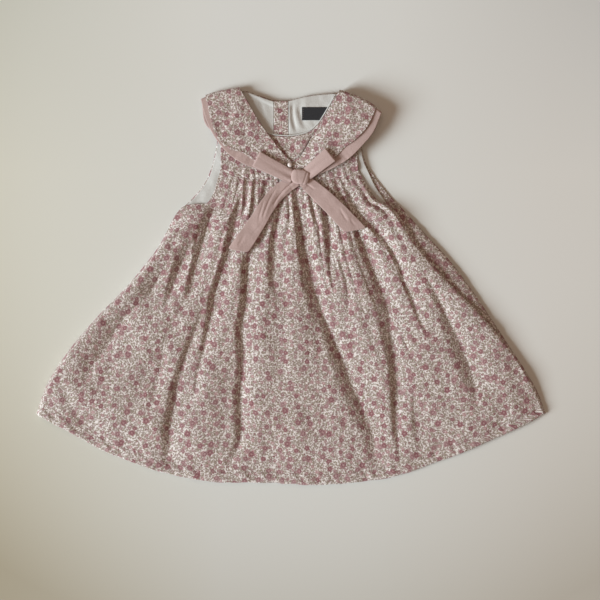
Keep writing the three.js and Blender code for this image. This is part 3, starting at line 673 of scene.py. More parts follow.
# %% Skirt tables
FRONT_SIDES = dict(
    left=[
        (-80.5, 134), (-84, 123), (-89, 107), (-97, 94.8), (-111, 94), (-126, 89.5), (-153, 44),
        (-189, -1), (-224, -37), (-259, -79), (-281, -115), (-292.4, -147)],
    right=[
        (77, 133), (82, 124), (91, 110), (99, 99), (108, 95.5), (118, 88), (148, 42), (188, -3),
        (223, -39), (257, -79), (280, -117), (292.4, -146)],
)
BACK_SIDES = dict(
    left=[
        (-95.5, 124.6), (-104, 111), (-118, 96), (-127, 87), (-153, 44), (-189, -1), (-224, -37),
        (-259, -79), (-281, -115), (-292.4, -147)],
    right=[
        (96.8, 124.6), (107, 112), (118, 99), (126, 91), (153, 61), (184, 27), (223, -27),
        (263.5, -89), (282, -119), (292.4, -146)],
)
YOKE_SEAM = [(-80.5, 134), (-61, 126), (-31, 122.5), (8, 117.5), (40, 123), (60, 126), (77, 133)]
HEM = [
    (-292.4, -147), (-261, -163.5), (-224, -184.5), (-186, -201), (-139, -216), (-95, -224),
    (-31, -225.5), (39, -228), (86, -224), (125, -217), (182, -196.5), (221, -181),
    (271, -157.5), (292.4, -146),
]
# Each station: x, y, width of the fold's wall and depth, from the gathers down
FOLDS = dict(
    left_shoulder_fold=[
        (-82, 112, 4.3, 0.6), (-94, 86, 6.0, 0.9), (-103, 62, 7.5, 1), (-111, 42, 9.0, 1),
        (-117, 20, 10.0, 0.9), (-121, 0, 10.0, 0.6), (-125, -18, 9.0, 0.2)],
    left_shoulder_branch=[
        (-122, 44, 7.0, 0.3), (-130, 28, 8.0, 0.9), (-139, 8, 8.5, 0.95), (-147, -12, 8.5, 0.6),
        (-153, -28, 8.0, 0.1)],
    left_second_fold=[
        (-59, 110, 2.9, 0.4), (-64, 90, 5.0, 0.75), (-69, 74, 6.5, 0.95), (-75, 51, 7.2, 1),
        (-80, 25, 5.7, 0.8), (-89, 1, 5.7, 0.8), (-94, -25, 5.7, 0.7), (-99, -48, 4.3, 0.6),
        (-103, -71, 4.3, 0.5), (-109, -97, 3.6, 0.35), (-113, -122, 3.6, 0.3)],
    left_side_fold=[
        (-152, 22, 8.5, 0.3), (-161, 6, 9.5, 0.7), (-172, -9, 10.5, 0.7), (-191, -25, 11.5, 0.65),
        (-209, -48, 12.9, 0.75), (-221, -69, 12.9, 0.7), (-233, -85, 12.9, 0.5),
        (-247, -110, 12.9, 0.2)],
    left_low_fold=[
        (-104, -22, 4.3, 0.1), (-111, -44, 4.6, 0.4), (-117, -62, 4.6, 0.6), (-123, -78, 5.0, 0.6),
        (-130, -99, 5.7, 0.6), (-136, -122, 6.5, 0.8), (-140, -145, 6.5, 0.8),
        (-144, -168, 6.5, 0.75), (-145, -198, 5.7, 0.55)],
    left_faint_fold=[
        (-146, -55, 5.0, 0.05), (-151, -82, 6.0, 0.28), (-156, -106, 6.5, 0.32),
        (-161, -126, 6.0, 0.25), (-168, -147, 5.0, 0.05)],
    middle_left_fold=[
        (-36, 57, 4.3, 0.7), (-52, 34, 5.7, 0.9), (-55, 7, 5.7, 0.9), (-56, -16, 5.7, 0.8),
        (-60, -51, 5.7, 0.75), (-59, -76, 5.7, 0.8), (-60, -108, 5.7, 0.8), (-63, -133, 6.5, 0.85),
        (-62, -159, 6.5, 0.75), (-63, -179, 5.7, 0.6), (-72, -200, 5.0, 0.4)],
    bow_left_fold=[
        (-15, 99, 5.0, 0.7), (-20, 76, 6.2, 0.9), (-24, 53, 6.8, 0.75), (-24, 28, 6.6, 0.55),
        (-24, 7, 6.0, 0.45), (-20, -14, 5.0, 0.15)],
    centre_fold=[
        (1, 117, 5.0, 0.8), (3, 93, 5.7, 1), (8, 62, 5.7, 1), (13, 34, 6.5, 1), (18, 7, 8.6, 1),
        (24, -16, 9.3, 1), (34, -41, 7.9, 0.9), (43, -64, 8.6, 0.9), (52, -87, 10.1, 0.95),
        (60, -108, 10.8, 0.95), (68, -129, 11.5, 0.9), (77, -150, 10.8, 0.7), (87, -172, 8.6, 0.55),
        (95, -202, 5.7, 0.5)],
    bow_right_fold=[
        (36, 97, 4.3, 0.8), (39, 70, 5.8, 0.8), (40, 47, 6.2, 0.6), (41, 21, 6.0, 0.45),
        (44, 1, 5.6, 0.35), (47, -22, 5.0, 0.25), (50, -51, 4.0, 0.1)],
    bow_right_branch=[
        (45, 53, 3.6, 0.2), (54, 24, 5.0, 0.4), (61, 1, 5.2, 0.4), (62, -22, 5.0, 0.35),
        (60, -41, 4.3, 0.1)],
    small_centre_gather=[
        (20, 106, 2.9, 0.5), (23, 85, 3.6, 0.5), (25, 64, 2.9, 0.2)],
    right_fold=[
        (72, 67, 5.0, 0.8), (79, 44, 7.2, 1), (87, 21, 9.3, 1), (94, 1, 10.8, 1),
        (101, -18, 10.8, 0.9), (106, -39, 9.3, 0.8), (110, -68, 8.6, 0.85), (115, -92, 6.5, 0.85),
        (116, -117, 6.5, 0.85), (116, -140, 6.5, 0.75), (117, -163, 5.7, 0.65),
        (121, -191, 4.3, 0.4)],
    right_short_fold=[
        (119, -38, 4.0, 0.15), (125, -60, 4.6, 0.5), (131, -76, 4.6, 0.35), (140, -92, 4.0, 0.05)],
    right_low_fold=[
        (137, -108, 4.0, 0.08), (137, -133, 5.0, 0.28), (139, -160, 5.4, 0.32),
        (143, -182, 4.6, 0.08)],
    armhole_line=[
        (58, 116, 5.0, 0.7), (66, 96, 5.8, 0.75), (76, 80, 5.8, 0.7), (90, 67, 5.5, 0.6),
        (101, 55, 5.2, 0.6), (112, 38, 5.0, 0.65), (121, 20, 5.0, 0.65), (130, -2, 4.6, 0.6),
        (139, -23, 4.3, 0.5), (147, -41, 2.9, 0.3)],
    side_fold=[
        (152, 8, 5.0, 0.15), (162, -10, 5.8, 0.45), (169, -25, 6.5, 0.5), (175, -40, 7.2, 0.55),
        (183, -58, 8.6, 0.6), (192, -78, 9.3, 0.65), (199, -96, 8.6, 0.6), (206, -116, 7.2, 0.45),
        (210, -135, 5.0, 0.1)],
    side_low_fold=[
        (237, -136, 4.6, 0.08), (235, -156, 5.0, 0.3), (231, -176, 4.6, 0.1)],
    gather_a=[
        (-54, 124, 3.8, 0.95), (-55, 105, 3.8, 0.85), (-59, 84, 3.6, 0.6), (-63, 66, 3.4, 0.2)],
    gather_b=[
        (-29, 124, 5.0, 1.0), (-33, 108, 5.0, 1.0), (-37, 90, 4.5, 0.7), (-42, 74, 4.0, 0.3)],
    gather_c=[
        (-69, 124, 3.4, 0.8), (-74, 108, 3.4, 0.75), (-80, 90, 3.4, 0.5), (-85, 74, 3.2, 0.2)],
    gather_d=[
        (-43, 124, 3.0, 0.8), (-45, 105, 3.0, 0.6), (-48, 84, 2.8, 0.4), (-51, 68, 2.6, 0.1)],
    gather_e=[
        (48, 122, 3.6, 0.7), (53, 107, 3.6, 0.6), (60, 93, 2.9, 0.3)],
    gather_f=[
        (68, 124, 2.2, 0.3), (76, 112, 2.2, 0.25), (84, 100, 2.2, 0.1)],
    gather_g=[
        (-61, 126, 2.8, 0.8), (-64, 108, 2.8, 0.7), (-69, 92, 2.6, 0.3)],
    gather_h=[
        (-25, 122, 2.2, 0.6), (-27, 110, 2.2, 0.5), (-29, 101, 2.0, 0.1)],
    corner_roll=[
        (-266, -122, 8.6, 0.15), (-252, -148, 10.1, 0.3), (-236, -170, 8.6, 0.25)],
)
FOLD_END = 10
WALL_BEFORE, WALL_LENGTH, WALL_CURVE = 0.9, 1.6, 1.4
CLIMB_FROM, CLIMB_LENGTH = 0.7, 1.5
GATHERS = dict(count=25, wander=0.40, sharpness=0.5, seed=11, swing=0.64)
GATHER_HEIGHT = 2.6
FLUTES_NEAR = dict(count=18, wander=0.5, sharpness=0.8, seed=14)
FLUTES_FAR = dict(count=10, wander=0.6, sharpness=1.1, seed=15)
FLUTE_HEIGHT_NEAR, FLUTE_HEIGHT_FAR = 2.6, 1.7
TURNED_SHARE = 0.85
PUFF = 5.2
PUFF_EDGE = dict(left=4, right=2.2, armhole=34, right_armhole=5)
PUFF_TOP = 70
PUFF_AT_HEM = 0.4
SWELL_AT_SEAM, SWELL_BELOW = 0.42, 0.58
SIDE_TILT = 0.4
DRIFT_WIDE, DRIFT_NARROW = 0.8, 0.5
CRUMPLE_WIDE, CRUMPLE_NARROW = 0.28, 0.16
PUCKER_HEIGHT, HEM_DROP = 0.9, 0.5
print("long folds:", len(FOLDS))

# %% [markdown]
# A fold is a crease that follows a smooth line through its stations, and its width and depth
# change from one to the next. Where two folds meet, the deeper one wins, as in real cloth.

# %% Long folds


def fold_depth(x, y):
    """How deep the long folds press at plan points, 0 to 1.

    Each fold slopes down to the right into a crease and then climbs."""
    depth = np.zeros_like(x)
    for fold in FOLDS.values():
        line = np.array(fold, dtype=float)[::-1]
        samples = station_line([tuple(row[:2]) for row in line], 12 * len(line))
        share = np.linspace(0, 1, len(samples))
        stations = np.linspace(0, 1, len(line))
        ends = np.gradient(samples[:, 0], samples[:, 1])
        route = np.interp(y, samples[:, 1], samples[:, 0])
        below, above = np.minimum(y - samples[0, 1], 0), np.maximum(y - samples[-1, 1], 0)
        route = route + ends[0] * below + ends[-1] * above
        route = route + 1.0 * soft_noise(y, y * 0 + line[0, 0], 17, 10, 3)
        slope = np.interp(y, samples[:, 1], np.gradient(samples[:, 0], samples[:, 1]))
        width = np.interp(y, samples[:, 1], np.interp(share, stations, line[:, 2]))
        strength = np.interp(y, samples[:, 1], np.interp(share, stations, line[:, 3]))
        past = np.maximum(np.maximum(y - samples[-1, 1], samples[0, 1] - y), 0)
        across = (x - route) / np.sqrt(1 + slope ** 2) / width
        wall = np.clip((across + WALL_BEFORE) / WALL_LENGTH, 0, 1) ** WALL_CURVE
        climb = np.exp(-np.maximum(across - CLIMB_FROM, 0) / CLIMB_LENGTH)
        depth = np.maximum(depth, strength * wall * climb * np.exp(-(past / FOLD_END) ** 2))
    return depth


# %% [markdown]
# A running thread draws the cloth up at the seam into many fine gathers. Some die away soon
# and others go on as wider flutes, so each has a strength and a reach of its own. They stand
# on a puff, because air and the back's cloth keep the front off the table.

# %% Gathers and flutes


def ridges(u, count, wander, sharpness, seed, swing=0.0):
    """Round ridges with sharp valleys, unevenly spaced, from 0 to 1."""
    phase = u * count + wander * soft_noise(u * count, u * 0, 1.7, 1.0, seed)
    phase += swing * soft_noise(u * count, u * 0, 4.6, 1.0, seed + 50)
    return np.abs(np.sin(np.pi * phase)) ** sharpness, np.floor(phase)


def gather_strength(which):
    """How strong each numbered gather is."""
    return np.maximum(0.65 + 0.85 * soft_noise(which, which * 0, 1.0, 1.0, 12), 0.12)


def gather_height(u, from_seam, from_side):
    """Fine gathers under the yoke seam. Some die away soon and some run on."""
    ridge, which = ridges(u, **GATHERS)
    strength = gather_strength(which)
    reach = 30 + 30 * soft_noise(which, which * 0 + 5, 1.0, 1.0, 13)
    start = 0.5 + 0.5 * step(from_seam, 0, 6)
    fade = np.exp(-from_seam / np.maximum(reach, 10)) * step(from_side, 2, 20)
    return GATHER_HEIGHT * start * strength * ridge * fade


def flute_height(u, from_seam, soft):
    """Wider flutes that carry on where the gathers die away."""
    near, which = ridges(u, **FLUTES_NEAR)
    reach = 80 + 60 * soft_noise(which, which * 0, 1.0, 1.0, 16)
    near = near * step(from_seam, 4, 40) * np.exp(-np.maximum(from_seam - 40, 0) / np.maximum(reach, 25))
    far, which = ridges(u, **FLUTES_FAR)
    far = far * step(from_seam, 40, 120) * (0.75 + 0.5 * soft_noise(which, which * 0, 1.0, 1.0, 17))
    return soft * (FLUTE_HEIGHT_NEAR * near + FLUTE_HEIGHT_FAR * far)


def seam_line(shift, count):
    """The gathered seam, a little uneven, moved up by shift."""
    seam = even_line(YOKE_SEAM, count)
    x = seam[:, 0]
    seam[:, 1] += shift + 0.8 * soft_noise(x, x * 0, 5, 1, 27) * step(80 - np.abs(x), 2, 10)
    return seam


def turned_over(y):
    """How much of its height the front keeps at its right seam, where the back turns over."""
    return TURNED_SHARE * step(y, -78, -45) * (1 - step(y, 70, 92))


def skirt_front_points(rows=274, columns=319):
    """The skirt front's upper face."""
    seam = seam_line(0.4, columns)
    points = panel(seam, even_line(HEM, columns),
                   even_line(FRONT_SIDES["left"], rows),
                   even_line(FRONT_SIDES["right"], rows))
    v, u = np.meshgrid(np.linspace(0, 1, rows), np.linspace(0, 1, columns), indexing="ij")
    points[..., 1] += step(v, 0.93, 1) * 0.8 * soft_noise(points[..., 0], u * 0, 11, 1, 21)
    x, y = points[..., 0], points[..., 1]
    from_seam = np.linalg.norm(points - points[0][None], axis=2)
    left_side = np.linalg.norm(points - points[:, :1], axis=2)
    right_side = np.linalg.norm(points - points[:, -1:], axis=2)
    side = np.minimum(left_side, right_side)
    near_armhole = 1 - step(from_seam, 45, 110)
    edge_left = PUFF_EDGE["left"] * (1 - near_armhole) + PUFF_EDGE["armhole"] * near_armhole
    edge_right = PUFF_EDGE["right"] * (1 - near_armhole) + PUFF_EDGE["right_armhole"] * near_armhole
    right_soft = np.maximum(step(right_side / edge_right, 0, 1), turned_over(y))
    soft = step(left_side / edge_left, 0, 1) * right_soft
    seat = LAYER + LAYER * np.clip((y - LINING_END_Y + 16) / 14, 0, 1) + rise(y)
    hem_ease = 1 - (1 - PUFF_AT_HEM) * step(v, 0.86, 1)
    swell = SWELL_AT_SEAM * step(from_seam, 0, 9) + SWELL_BELOW * step(from_seam, 5, PUFF_TOP)
    tilt = 1 + SIDE_TILT * (1 - step(left_side, 8, 110)) * step(from_seam, 60, 140)
    tilt -= SIDE_TILT * (1 - step(right_side, 0, 60)) * (1 - turned_over(y) / TURNED_SHARE)
    puff = PUFF * soft * swell * hem_ease * tilt
    folds = fold_depth(x, y)
    height = seat + CLOTH + (puff + flute_height(u, from_seam, soft) * hem_ease) * (1 - folds)
    height += gather_height(u, from_seam, side) * (1 - 0.8 * folds)
    drift = DRIFT_WIDE * soft_noise(x, y, 38, 60, 22)
    drift += DRIFT_NARROW * soft_noise(x + 0.3 * y, y, 14, 30, 23)
    crumple = CRUMPLE_WIDE * soft_noise(x, y, 6.5, 9, 24) + CRUMPLE_NARROW * soft_noise(x, y, 3.2, 4.2, 25)
    height += soft * step(from_seam, 15, 60) * (drift + crumple + 1.0) * (1 - 0.6 * folds)
    pucker = step(v, 0.955, 0.98) * (1 - step(v, 0.98, 0.995))
    height += PUCKER_HEIGHT * pucker * soft_noise(x + 0.8 * y, y * 0, 2.6, 1, 26) * soft
    height -= HEM_DROP * step(v, 0.992, 1.0)
    points[..., 2] = height
    return points


front_points = skirt_front_points()
skirt_front = cloth_object("skirt_front_cloth", front_points, under_step=3)
settle(skirt_front, PRINTED, ["skirt_front"])

# %% [markdown]
# The back of the skirt lies flat on the table and shows only as an edge, except on the right,
# where it turns over on to the front as a narrow strip. The strip is a surface of its own. It
# starts at the front's height along the side seam and slopes down to the outer edge.

# %% Skirt back and its turned side
BACK_ROWS, BACK_COLUMNS = 90, 110
TURN_TOP_Y, TURN_END_Y = 90, -72
TURN_TUCK, TURN_SLOPE, TURN_DROP = 1.2, 0.55, 0.9


def skirt_back_points():
    """The skirt back's upper face, flat but for faint waves."""
    top = even_line([BACK_SIDES["left"][0], BACK_SIDES["right"][0]], BACK_COLUMNS)
    points = panel(top, even_line(HEM, BACK_COLUMNS),
                   even_line(BACK_SIDES["left"], BACK_ROWS),
                   even_line(BACK_SIDES["right"], BACK_ROWS))
    x, y = points[..., 0], points[..., 1]
    points[..., 2] = CLOTH - 0.1 + 0.1 * soft_noise(x, y, 24, 40, 31)
    return points


skirt_back = cloth_object("skirt_back_cloth", skirt_back_points(), 0.85, print_shift=(13, 29))
settle(skirt_back, PRINTED, ["skirt_back"])


def side_turn_points(rows=130, columns=14):
    """The back's right side, turned over on to the front."""
    seam = even_line(FRONT_SIDES["right"], 420)
    edge_line = even_line(BACK_SIDES["right"], 900)
    seam = seam[(seam[:, 1] < TURN_TOP_Y) & (seam[:, 1] > TURN_END_Y)]
    seam = seam[np.linspace(0, len(seam) - 1, rows).astype(int)]
    nearest = np.linalg.norm(seam[:, None] - edge_line[None], axis=2).argmin(axis=1)
    edge = edge_line[nearest]
    w = np.linspace(0, 1, columns)[None, :, None]
    points = seam[:, None] * (1 - w) + edge[:, None] * w
    width = np.linalg.norm(edge - seam, axis=1)[:, None]
    lift = np.clip(width / 12, 0, 1)
    points += TURN_TUCK * (1 - w) ** 3 * ((seam - edge) / np.maximum(width, 1))[:, None]
    ripple = 0.35 * soft_noise(points[..., 0], points[..., 1], 7, 12, 33)
    top = 0.9 * PUFF * turned_over(points[:, :1, 1]) * lift
    w = w[..., 0]
    slope = top * (1 - TURN_SLOPE * w ** 1.1) - TURN_DROP * step(w, 0.8, 1)
    points[..., 2] = LAYER + CLOTH - 0.2 + slope + lift * ripple * w
    return points


side_turn = cloth_object("side_turn_cloth", side_turn_points(), print_shift=(71, 5))
settle(side_turn, PRINTED, ["side_turn_right"])

# %% [markdown]
# The front yoke is a plain panel between the gathered seam and the neckline. The gathers tug
# at its lower edge, and it bulges a little in the opening between the collar's halves.

# %% Front yoke
FRONT_NECK = [
    (-58.5, 220.5), (-54, 208), (-45, 191.5), (-34, 178.5), (-22, 173), (-4.6, 171.3),
    (9.2, 172.8), (20.7, 176.4), (31, 184.8), (42, 201.3), (50.6, 217),
]
YOKE_SHOULDERS = dict(left=(-80.5, 214.5), right=(75.9, 207))
NECK_EDGE = 1.6
YOKE_BULGE = 1.7
RIGHT_COLLAR_EDGE = [
    (0.8, 142.3), (10.5, 148), (17.5, 158.5), (24.5, 170.5), (33, 181.2), (40.5, 193.6),
    (48, 207.4), (54, 220.4),
]


def left_of_collar(points):
    """How far each point lies to the left of the right collar's inner edge."""
    edge = station_line(RIGHT_COLLAR_EDGE, 160)
    ahead = np.gradient(edge, axis=0)
    away = points[:, :, None, :2] - edge[None, None, :, :2]
    far = np.linalg.norm(away, axis=3)
    nearest = far.argmin(axis=2)
    gap = np.take_along_axis(far, nearest[..., None], axis=2)[..., 0]
    offset = points[..., :2] - edge[nearest, :2]
    turned = ahead[nearest, 0] * offset[..., 1] - ahead[nearest, 1] * offset[..., 0]
    return np.where(turned > 0, gap, 0)


def yoke_front_points(rows=60, columns=160, shoulder=12):
    """The yoke's upper face, with the seam's tugs along its lower edge."""
    neck = even_line(FRONT_NECK, columns - 2 * shoulder)
    left = even_line([YOKE_SHOULDERS["left"], FRONT_NECK[0]], shoulder + 1)[:-1]
    right = even_line([FRONT_NECK[-1], YOKE_SHOULDERS["right"]], shoulder + 1)[1:]
    top = np.concatenate([left, neck, right])
    seam = seam_line(-0.5, columns)
    points = panel(top, seam, even_line([YOKE_SHOULDERS["left"], tuple(seam[0])], rows),
                   even_line([YOKE_SHOULDERS["right"], tuple(seam[-1])], rows))
    x, y = points[..., 0], points[..., 1]
    u = np.linspace(0, 1, columns)[None, :]
    v = np.linspace(0, 1, rows)[:, None]
    tug, which = ridges(u + 0 * v, **GATHERS)
    tug = tug * gather_strength(which) * step(v, 0.80, 0.94)
    beside = left_of_collar(points)
    bulge = YOKE_BULGE * step(beside, 0.2, 2.2) * (1 - step(beside, 5, 16))
    bulge *= step(y, 142, 150) * step(178 - y, 0, 12)
    points[..., 2] = layer_top(2, y) + 0.35 * soft_noise(x, y, 10, 16, 41) + 1.5 * tug + bulge
    return points


yoke_front = cloth_object("yoke_front_cloth", yoke_front_points(), print_shift=(29, 61))
settle(yoke_front, PRINTED, ["yoke_front"])

# %% [markdown]
# The rolled edge of the lining is a thin tube. Rings of points along a route make it, and the
# same rings will make the cord of the loop and the stitches.

# %% Rolled edge of the lining


def tube_faces(count, sides, first=0):
    """The faces of a tube of rings and its two ends, from its first vertex."""
    ring = first + np.arange(sides)
    faces = []
    for i in range(count - 1):
        near, far = ring + i * sides, ring + (i + 1) * sides
        faces += np.stack([near, np.roll(near, -1), np.roll(far, -1), far], axis=1).tolist()
    return [*faces, ring[::-1].tolist(), (ring + (count - 1) * sides).tolist()]


def roll_along(name, route, radius, sides=10, squash=1.0):
    """A thin closed roll along a route of points, in mm."""
    route = np.asarray(route, dtype=float)
    ahead = directions(route)
    side = np.cross(ahead, [0, 0, 1.0])
    side /= np.maximum(np.linalg.norm(side, axis=1, keepdims=True), 1e-9)
    up = np.cross(side, ahead)
    count = len(route)
    angles = 2 * np.pi * np.arange(sides) / sides
    ring = side[:, None] * np.cos(angles)[:, None] + squash * up[:, None] * np.sin(angles)[:, None]
    points = (route[:, None] + radius * ring).reshape(-1, 3)
    along = np.repeat(np.arange(count) * 0.5, sides)
    places = np.stack([along, np.tile(angles, count), 0 * along], axis=1)
    return new_piece(name, points, tube_faces(count, sides), places)


neck = even_line(FRONT_NECK, 140)
neck_ahead = directions(neck)
inwards = np.stack([-neck_ahead[:, 1], neck_ahead[:, 0], np.zeros(len(neck))], axis=1)
neck_roll = neck + inwards * (SEAM + NECK_EDGE / 2)
neck_roll[:, 2] = layer_top(2, neck_roll[:, 1]) - 0.45
edge_roll = roll_along("front_neck_roll", neck_roll, NECK_EDGE / 2, 10, 0.75)
settle(edge_roll, LINING, ["front_neck_edge"])

# %% [markdown]
# Inside the neck and the armholes the white lining of the back shows. Each half is one soft
# panel with a few shallow creases, and the back bodice of printed cotton lies under it.

# %% Back bodice and lining
OPENING_X = -2.75
PLACKET_WIDTH = 16.7
BACK_BODICE = dict(
    left=dict(
        top=[(-80, 214), (-53, 223.4), (-38, 219), (-18, 212.8), (-2.9, 212.6)],
        armhole=[(-80, 214), (-83, 188), (-85.5, 161), (-90, 140), (-95.5, 125)]),
    right=dict(
        top=[(75.5, 207), (52, 220.6), (40, 220.4), (18, 217.8), (-2.6, 212.6)],
        armhole=[(75.5, 207), (79, 185), (81.5, 158), (87, 139), (96.8, 125)]),
)
BACK_LINING = dict(
    left=dict(
        top=[(-78.5, 213), (-52, 222), (-38, 217.9), (-29, 214.6), (-19.75, 211.6)],
        armhole=[(-78.5, 213), (-82, 188), (-84.4, 161), (-88.6, 142), (-93.4, 126.5),
                 (-103.4, 110), (-116.5, 95.6), (-123.5, 89.5)]),
    right=dict(
        top=[(74, 206), (52, 219.9), (40, 219.9), (18, 217.2), (-2.6, 212)],
        armhole=[(74, 206), (78, 184), (80.6, 156), (84, 142), (89.5, 130),
                 (97.5, 113.5), (106.5, 100), (110.5, 93)]),
)


def back_panel_points(edges, bottom_y, number, rows=110, columns=90, soft=0.1, seed=51):
    """A half of the back between its neck, armhole, centre line and lower edge."""
    top = even_line(edges["top"], columns)
    armhole = even_line(edges["armhole"], rows)
    centre_x = edges["top"][-1][0]
    centre = even_line([edges["top"][-1], (centre_x, bottom_y)], rows)
    bottom = even_line([tuple(armhole[-1]), (centre_x, bottom_y)], columns)
    points = panel(top, bottom, armhole, centre)
    x, y = points[..., 0], points[..., 1]
    creases = soft_noise(x + 0.4 * y, y, 9, 26, seed) + 0.6 * soft_noise(x, y, 5, 8, seed + 1)
    points[..., 2] = layer_top(number, y) - 0.12 + soft * creases
    return points


# From and to, then width and depth of each soft crease
LINING_CREASES = dict(
    left=[((-36, 214), (-24, 184), 3.0, 0.5), ((-110, 97), (-86, 150), 4.0, 0.5)],
    right=[((2, 208), (6, 178), 2.2, 0.9), ((9, 206), (17, 182), 2.6, 0.7),
           ((24, 188), (40, 180), 2.4, 0.4)],
)


def press_creases(points, creases):
    """Presses soft valleys along straight lines into a grid of points."""
    for start, finish, width, depth in creases:
        start, finish = np.array(start, dtype=float), np.array(finish, dtype=float)
        length = np.linalg.norm(finish - start)
        ahead = (finish - start) / length
        along = (points[..., 0] - start[0]) * ahead[0] + (points[..., 1] - start[1]) * ahead[1]
        off = (points[..., 0] - start[0]) * ahead[1] - (points[..., 1] - start[1]) * ahead[0]
        bend = 1.5 * np.sin(along / length * 3.0)
        active = step(along, -4, 6) * (1 - step(along, length - 6, length + 4))
        points[..., 2] -= depth * active * np.exp(-((off - bend) / width) ** 2)
        points[..., 2] += 0.5 * depth * active * np.exp(-((off - bend - 2 * width) / width) ** 2)
    return points


def facing_step(points):
    """The neck facing of the left lining: a raised strip that ends in a slanted edge."""
    x, y = points[..., 0], points[..., 1]
    past = (220.5 - 0.46 * (x + 50)) - y
    points[..., 2] += 0.35 - 0.75 * step(past, 0.0, 1.2)
    return points


for side, shift in (("left", 17), ("right", 83)):
    bodice = cloth_object(f"yoke_back_{side}_cloth", back_panel_points(BACK_BODICE[side], 125, 0),
                          print_shift=(shift, 40))
    settle(bodice, PRINTED, [f"yoke_back_{side}"])
    lining_points = back_panel_points(BACK_LINING[side], LINING_END_Y, 1, soft=0.28, seed=55)
    lining_points = press_creases(lining_points, LINING_CREASES[side])
    if side == "left":
        lining_points = facing_step(lining_points)
    lining = cloth_object(f"lining_back_{side}_cloth", lining_points)
    settle(lining, LINING, [f"lining_back_{side}"])

# %% [markdown]
# The dress opens at the back. A placket, which is a straight folded strip, lies along the
# opening on the left half. It stands a little over the lining, and its edges roll down to it.

# %% Placket


def strip_points(left, right, top, bottom, rows, columns, number, lift=0.0):
    """A straight strip laid on a layer."""
    x, y = np.meshgrid(np.linspace(left, right, columns), np.linspace(top, bottom, rows))
    edge = np.minimum(np.minimum(x - left, right - x), np.minimum(top - y, y - bottom))
    z = layer_top(number, y) - 0.1 + lift * step(edge, 0, 1.2) + 0.07 * soft_noise(x, y, 6, 9, 61)
    return np.stack([x, y, z], axis=2)


placket = cloth_object("placket_cloth", strip_points(
    OPENING_X - PLACKET_WIDTH, OPENING_X - SEAM / 2, 212, 100, 90, 24, 1, 0.25), print_shift=(5, 91))
settle(placket, PRINTED, ["placket"])

# %% [markdown]
# The label's place stays bare: a dark woven tab, sewn on to the right lining by its left end.
# Its right end runs in under the collar.

# %% Label tab
LABEL = dict(left=12.5, bottom=190, top=205, bottom_right=37.5, top_right=47)


def label_points(rows=30, columns=50):
    """The tab's upper face."""
    w = np.linspace(0, 1, columns)[None, :]
    v = np.linspace(0, 1, rows)[:, None]
    right = LABEL["top_right"] * (1 - v) + LABEL["bottom_right"] * v
    x = LABEL["left"] * (1 - w) + right * w
    y = (LABEL["top"] * (1 - v) + LABEL["bottom"] * v) + 0 * w
    z = layer_top(1, y) + 0.35 + 0.1 * soft_noise(x, y, 9, 20, 71)
    return np.stack([x, y, z], axis=2)


label = cloth_object("label_tab", label_points(), 0.3)
settle(label, TAB, ["label"])

# %% [markdown]
# The collar is the widest detail: two printed halves over two plain mauve ones that show as
# a border. Each half is one sheet from the point of the V, over the shoulder in a soft turn,
# and round to the back under the bodice. One function builds all four sheets.

# %% Collar tables
COLLAR_FRONT = dict(
    left=dict(
        inner=[
            (0.5, 142.3), (-9, 151.5), (-20, 165.5), (-29, 177.5), (-37, 189.5), (-43.5, 200.5),
            (-50, 212), (-57, 223.6)],
        printed=[
            (1.5, 130.5), (-20, 134.5), (-40, 142.5), (-56, 152.8), (-72.5, 157.8), (-83.5, 169),
            (-91, 188), (-97, 214)],
        plain=[
            (2.5, 121.8), (-21, 127), (-42, 134.7), (-59.5, 142.5), (-74, 153.5), (-87, 170),
            (-97, 190), (-102.6, 211.6)],
    ),
    right=dict(
        inner=RIGHT_COLLAR_EDGE,
        printed=[
            (1.8, 130.5), (20, 132.5), (35.5, 137), (50.5, 146.5), (61, 157.5), (74, 167),
            (87, 181), (95.8, 199.5)],
        plain=[
            (2.8, 121.8), (23, 124.5), (38, 130), (52, 136.5), (67, 146), (80, 158.5), (94, 175.5),
            (102.8, 196)],
    ),
)
COLLAR_BACK_HALF = dict(
    left=dict(
        inner=[
            (-57, 223.2), (-45, 220.4), (-31, 214.8), (-18, 211.8), (-4, 211.5)],
        printed=[
            (-97, 213.6), (-88, 188), (-58, 173.5), (-28, 172), (-4, 172)],
        plain=[
            (-102.6, 211.2), (-97, 184), (-64, 165.5), (-30, 164), (-4, 164)],
    ),
    right=dict(
        inner=[
            (54, 220), (42, 219.6), (27, 217.2), (12, 214.8), (-1.5, 211.5)],
        printed=[
            (95.8, 198.8), (82, 183), (54, 173.5), (24, 172), (-1.5, 172)],
        plain=[
            (102.8, 195.6), (90, 177.5), (60, 165.5), (26, 164), (-1.5, 164)],
    ),
)
COLLAR_ROWS = 110
# Way out over the shoulder, bow of its edge, and how far the collar climbs and leans
SHOULDERS = dict(
    left=dict(out=(-0.24, 0.97), bow=1.6, climb=0.0, lean=0.0),
    right=dict(out=(0.46, 0.89), bow=3.0, climb=7.5, lean=1.4),
)
COLLAR_LAYERS = dict(
    plain=dict(number=3, back=LAYER + CLOTH / 2, lift=0.5, seed=81),
    printed=dict(number=4, back=CLOTH / 2, lift=1.1, seed=91),
)
print("collar's width on the right:", np.ptp([x for x, y in COLLAR_FRONT["right"]["plain"]]), "mm")

# %% [markdown]
# A sheet of the collar has three stretches of rows: the front, half a circle round the
# shoulder, and the back. Ripples and a curled edge lie on the front alone. The print is
# carried over the shoulder by the way walked along the cloth, so it doesn't stretch there.

# %% Collar sheets


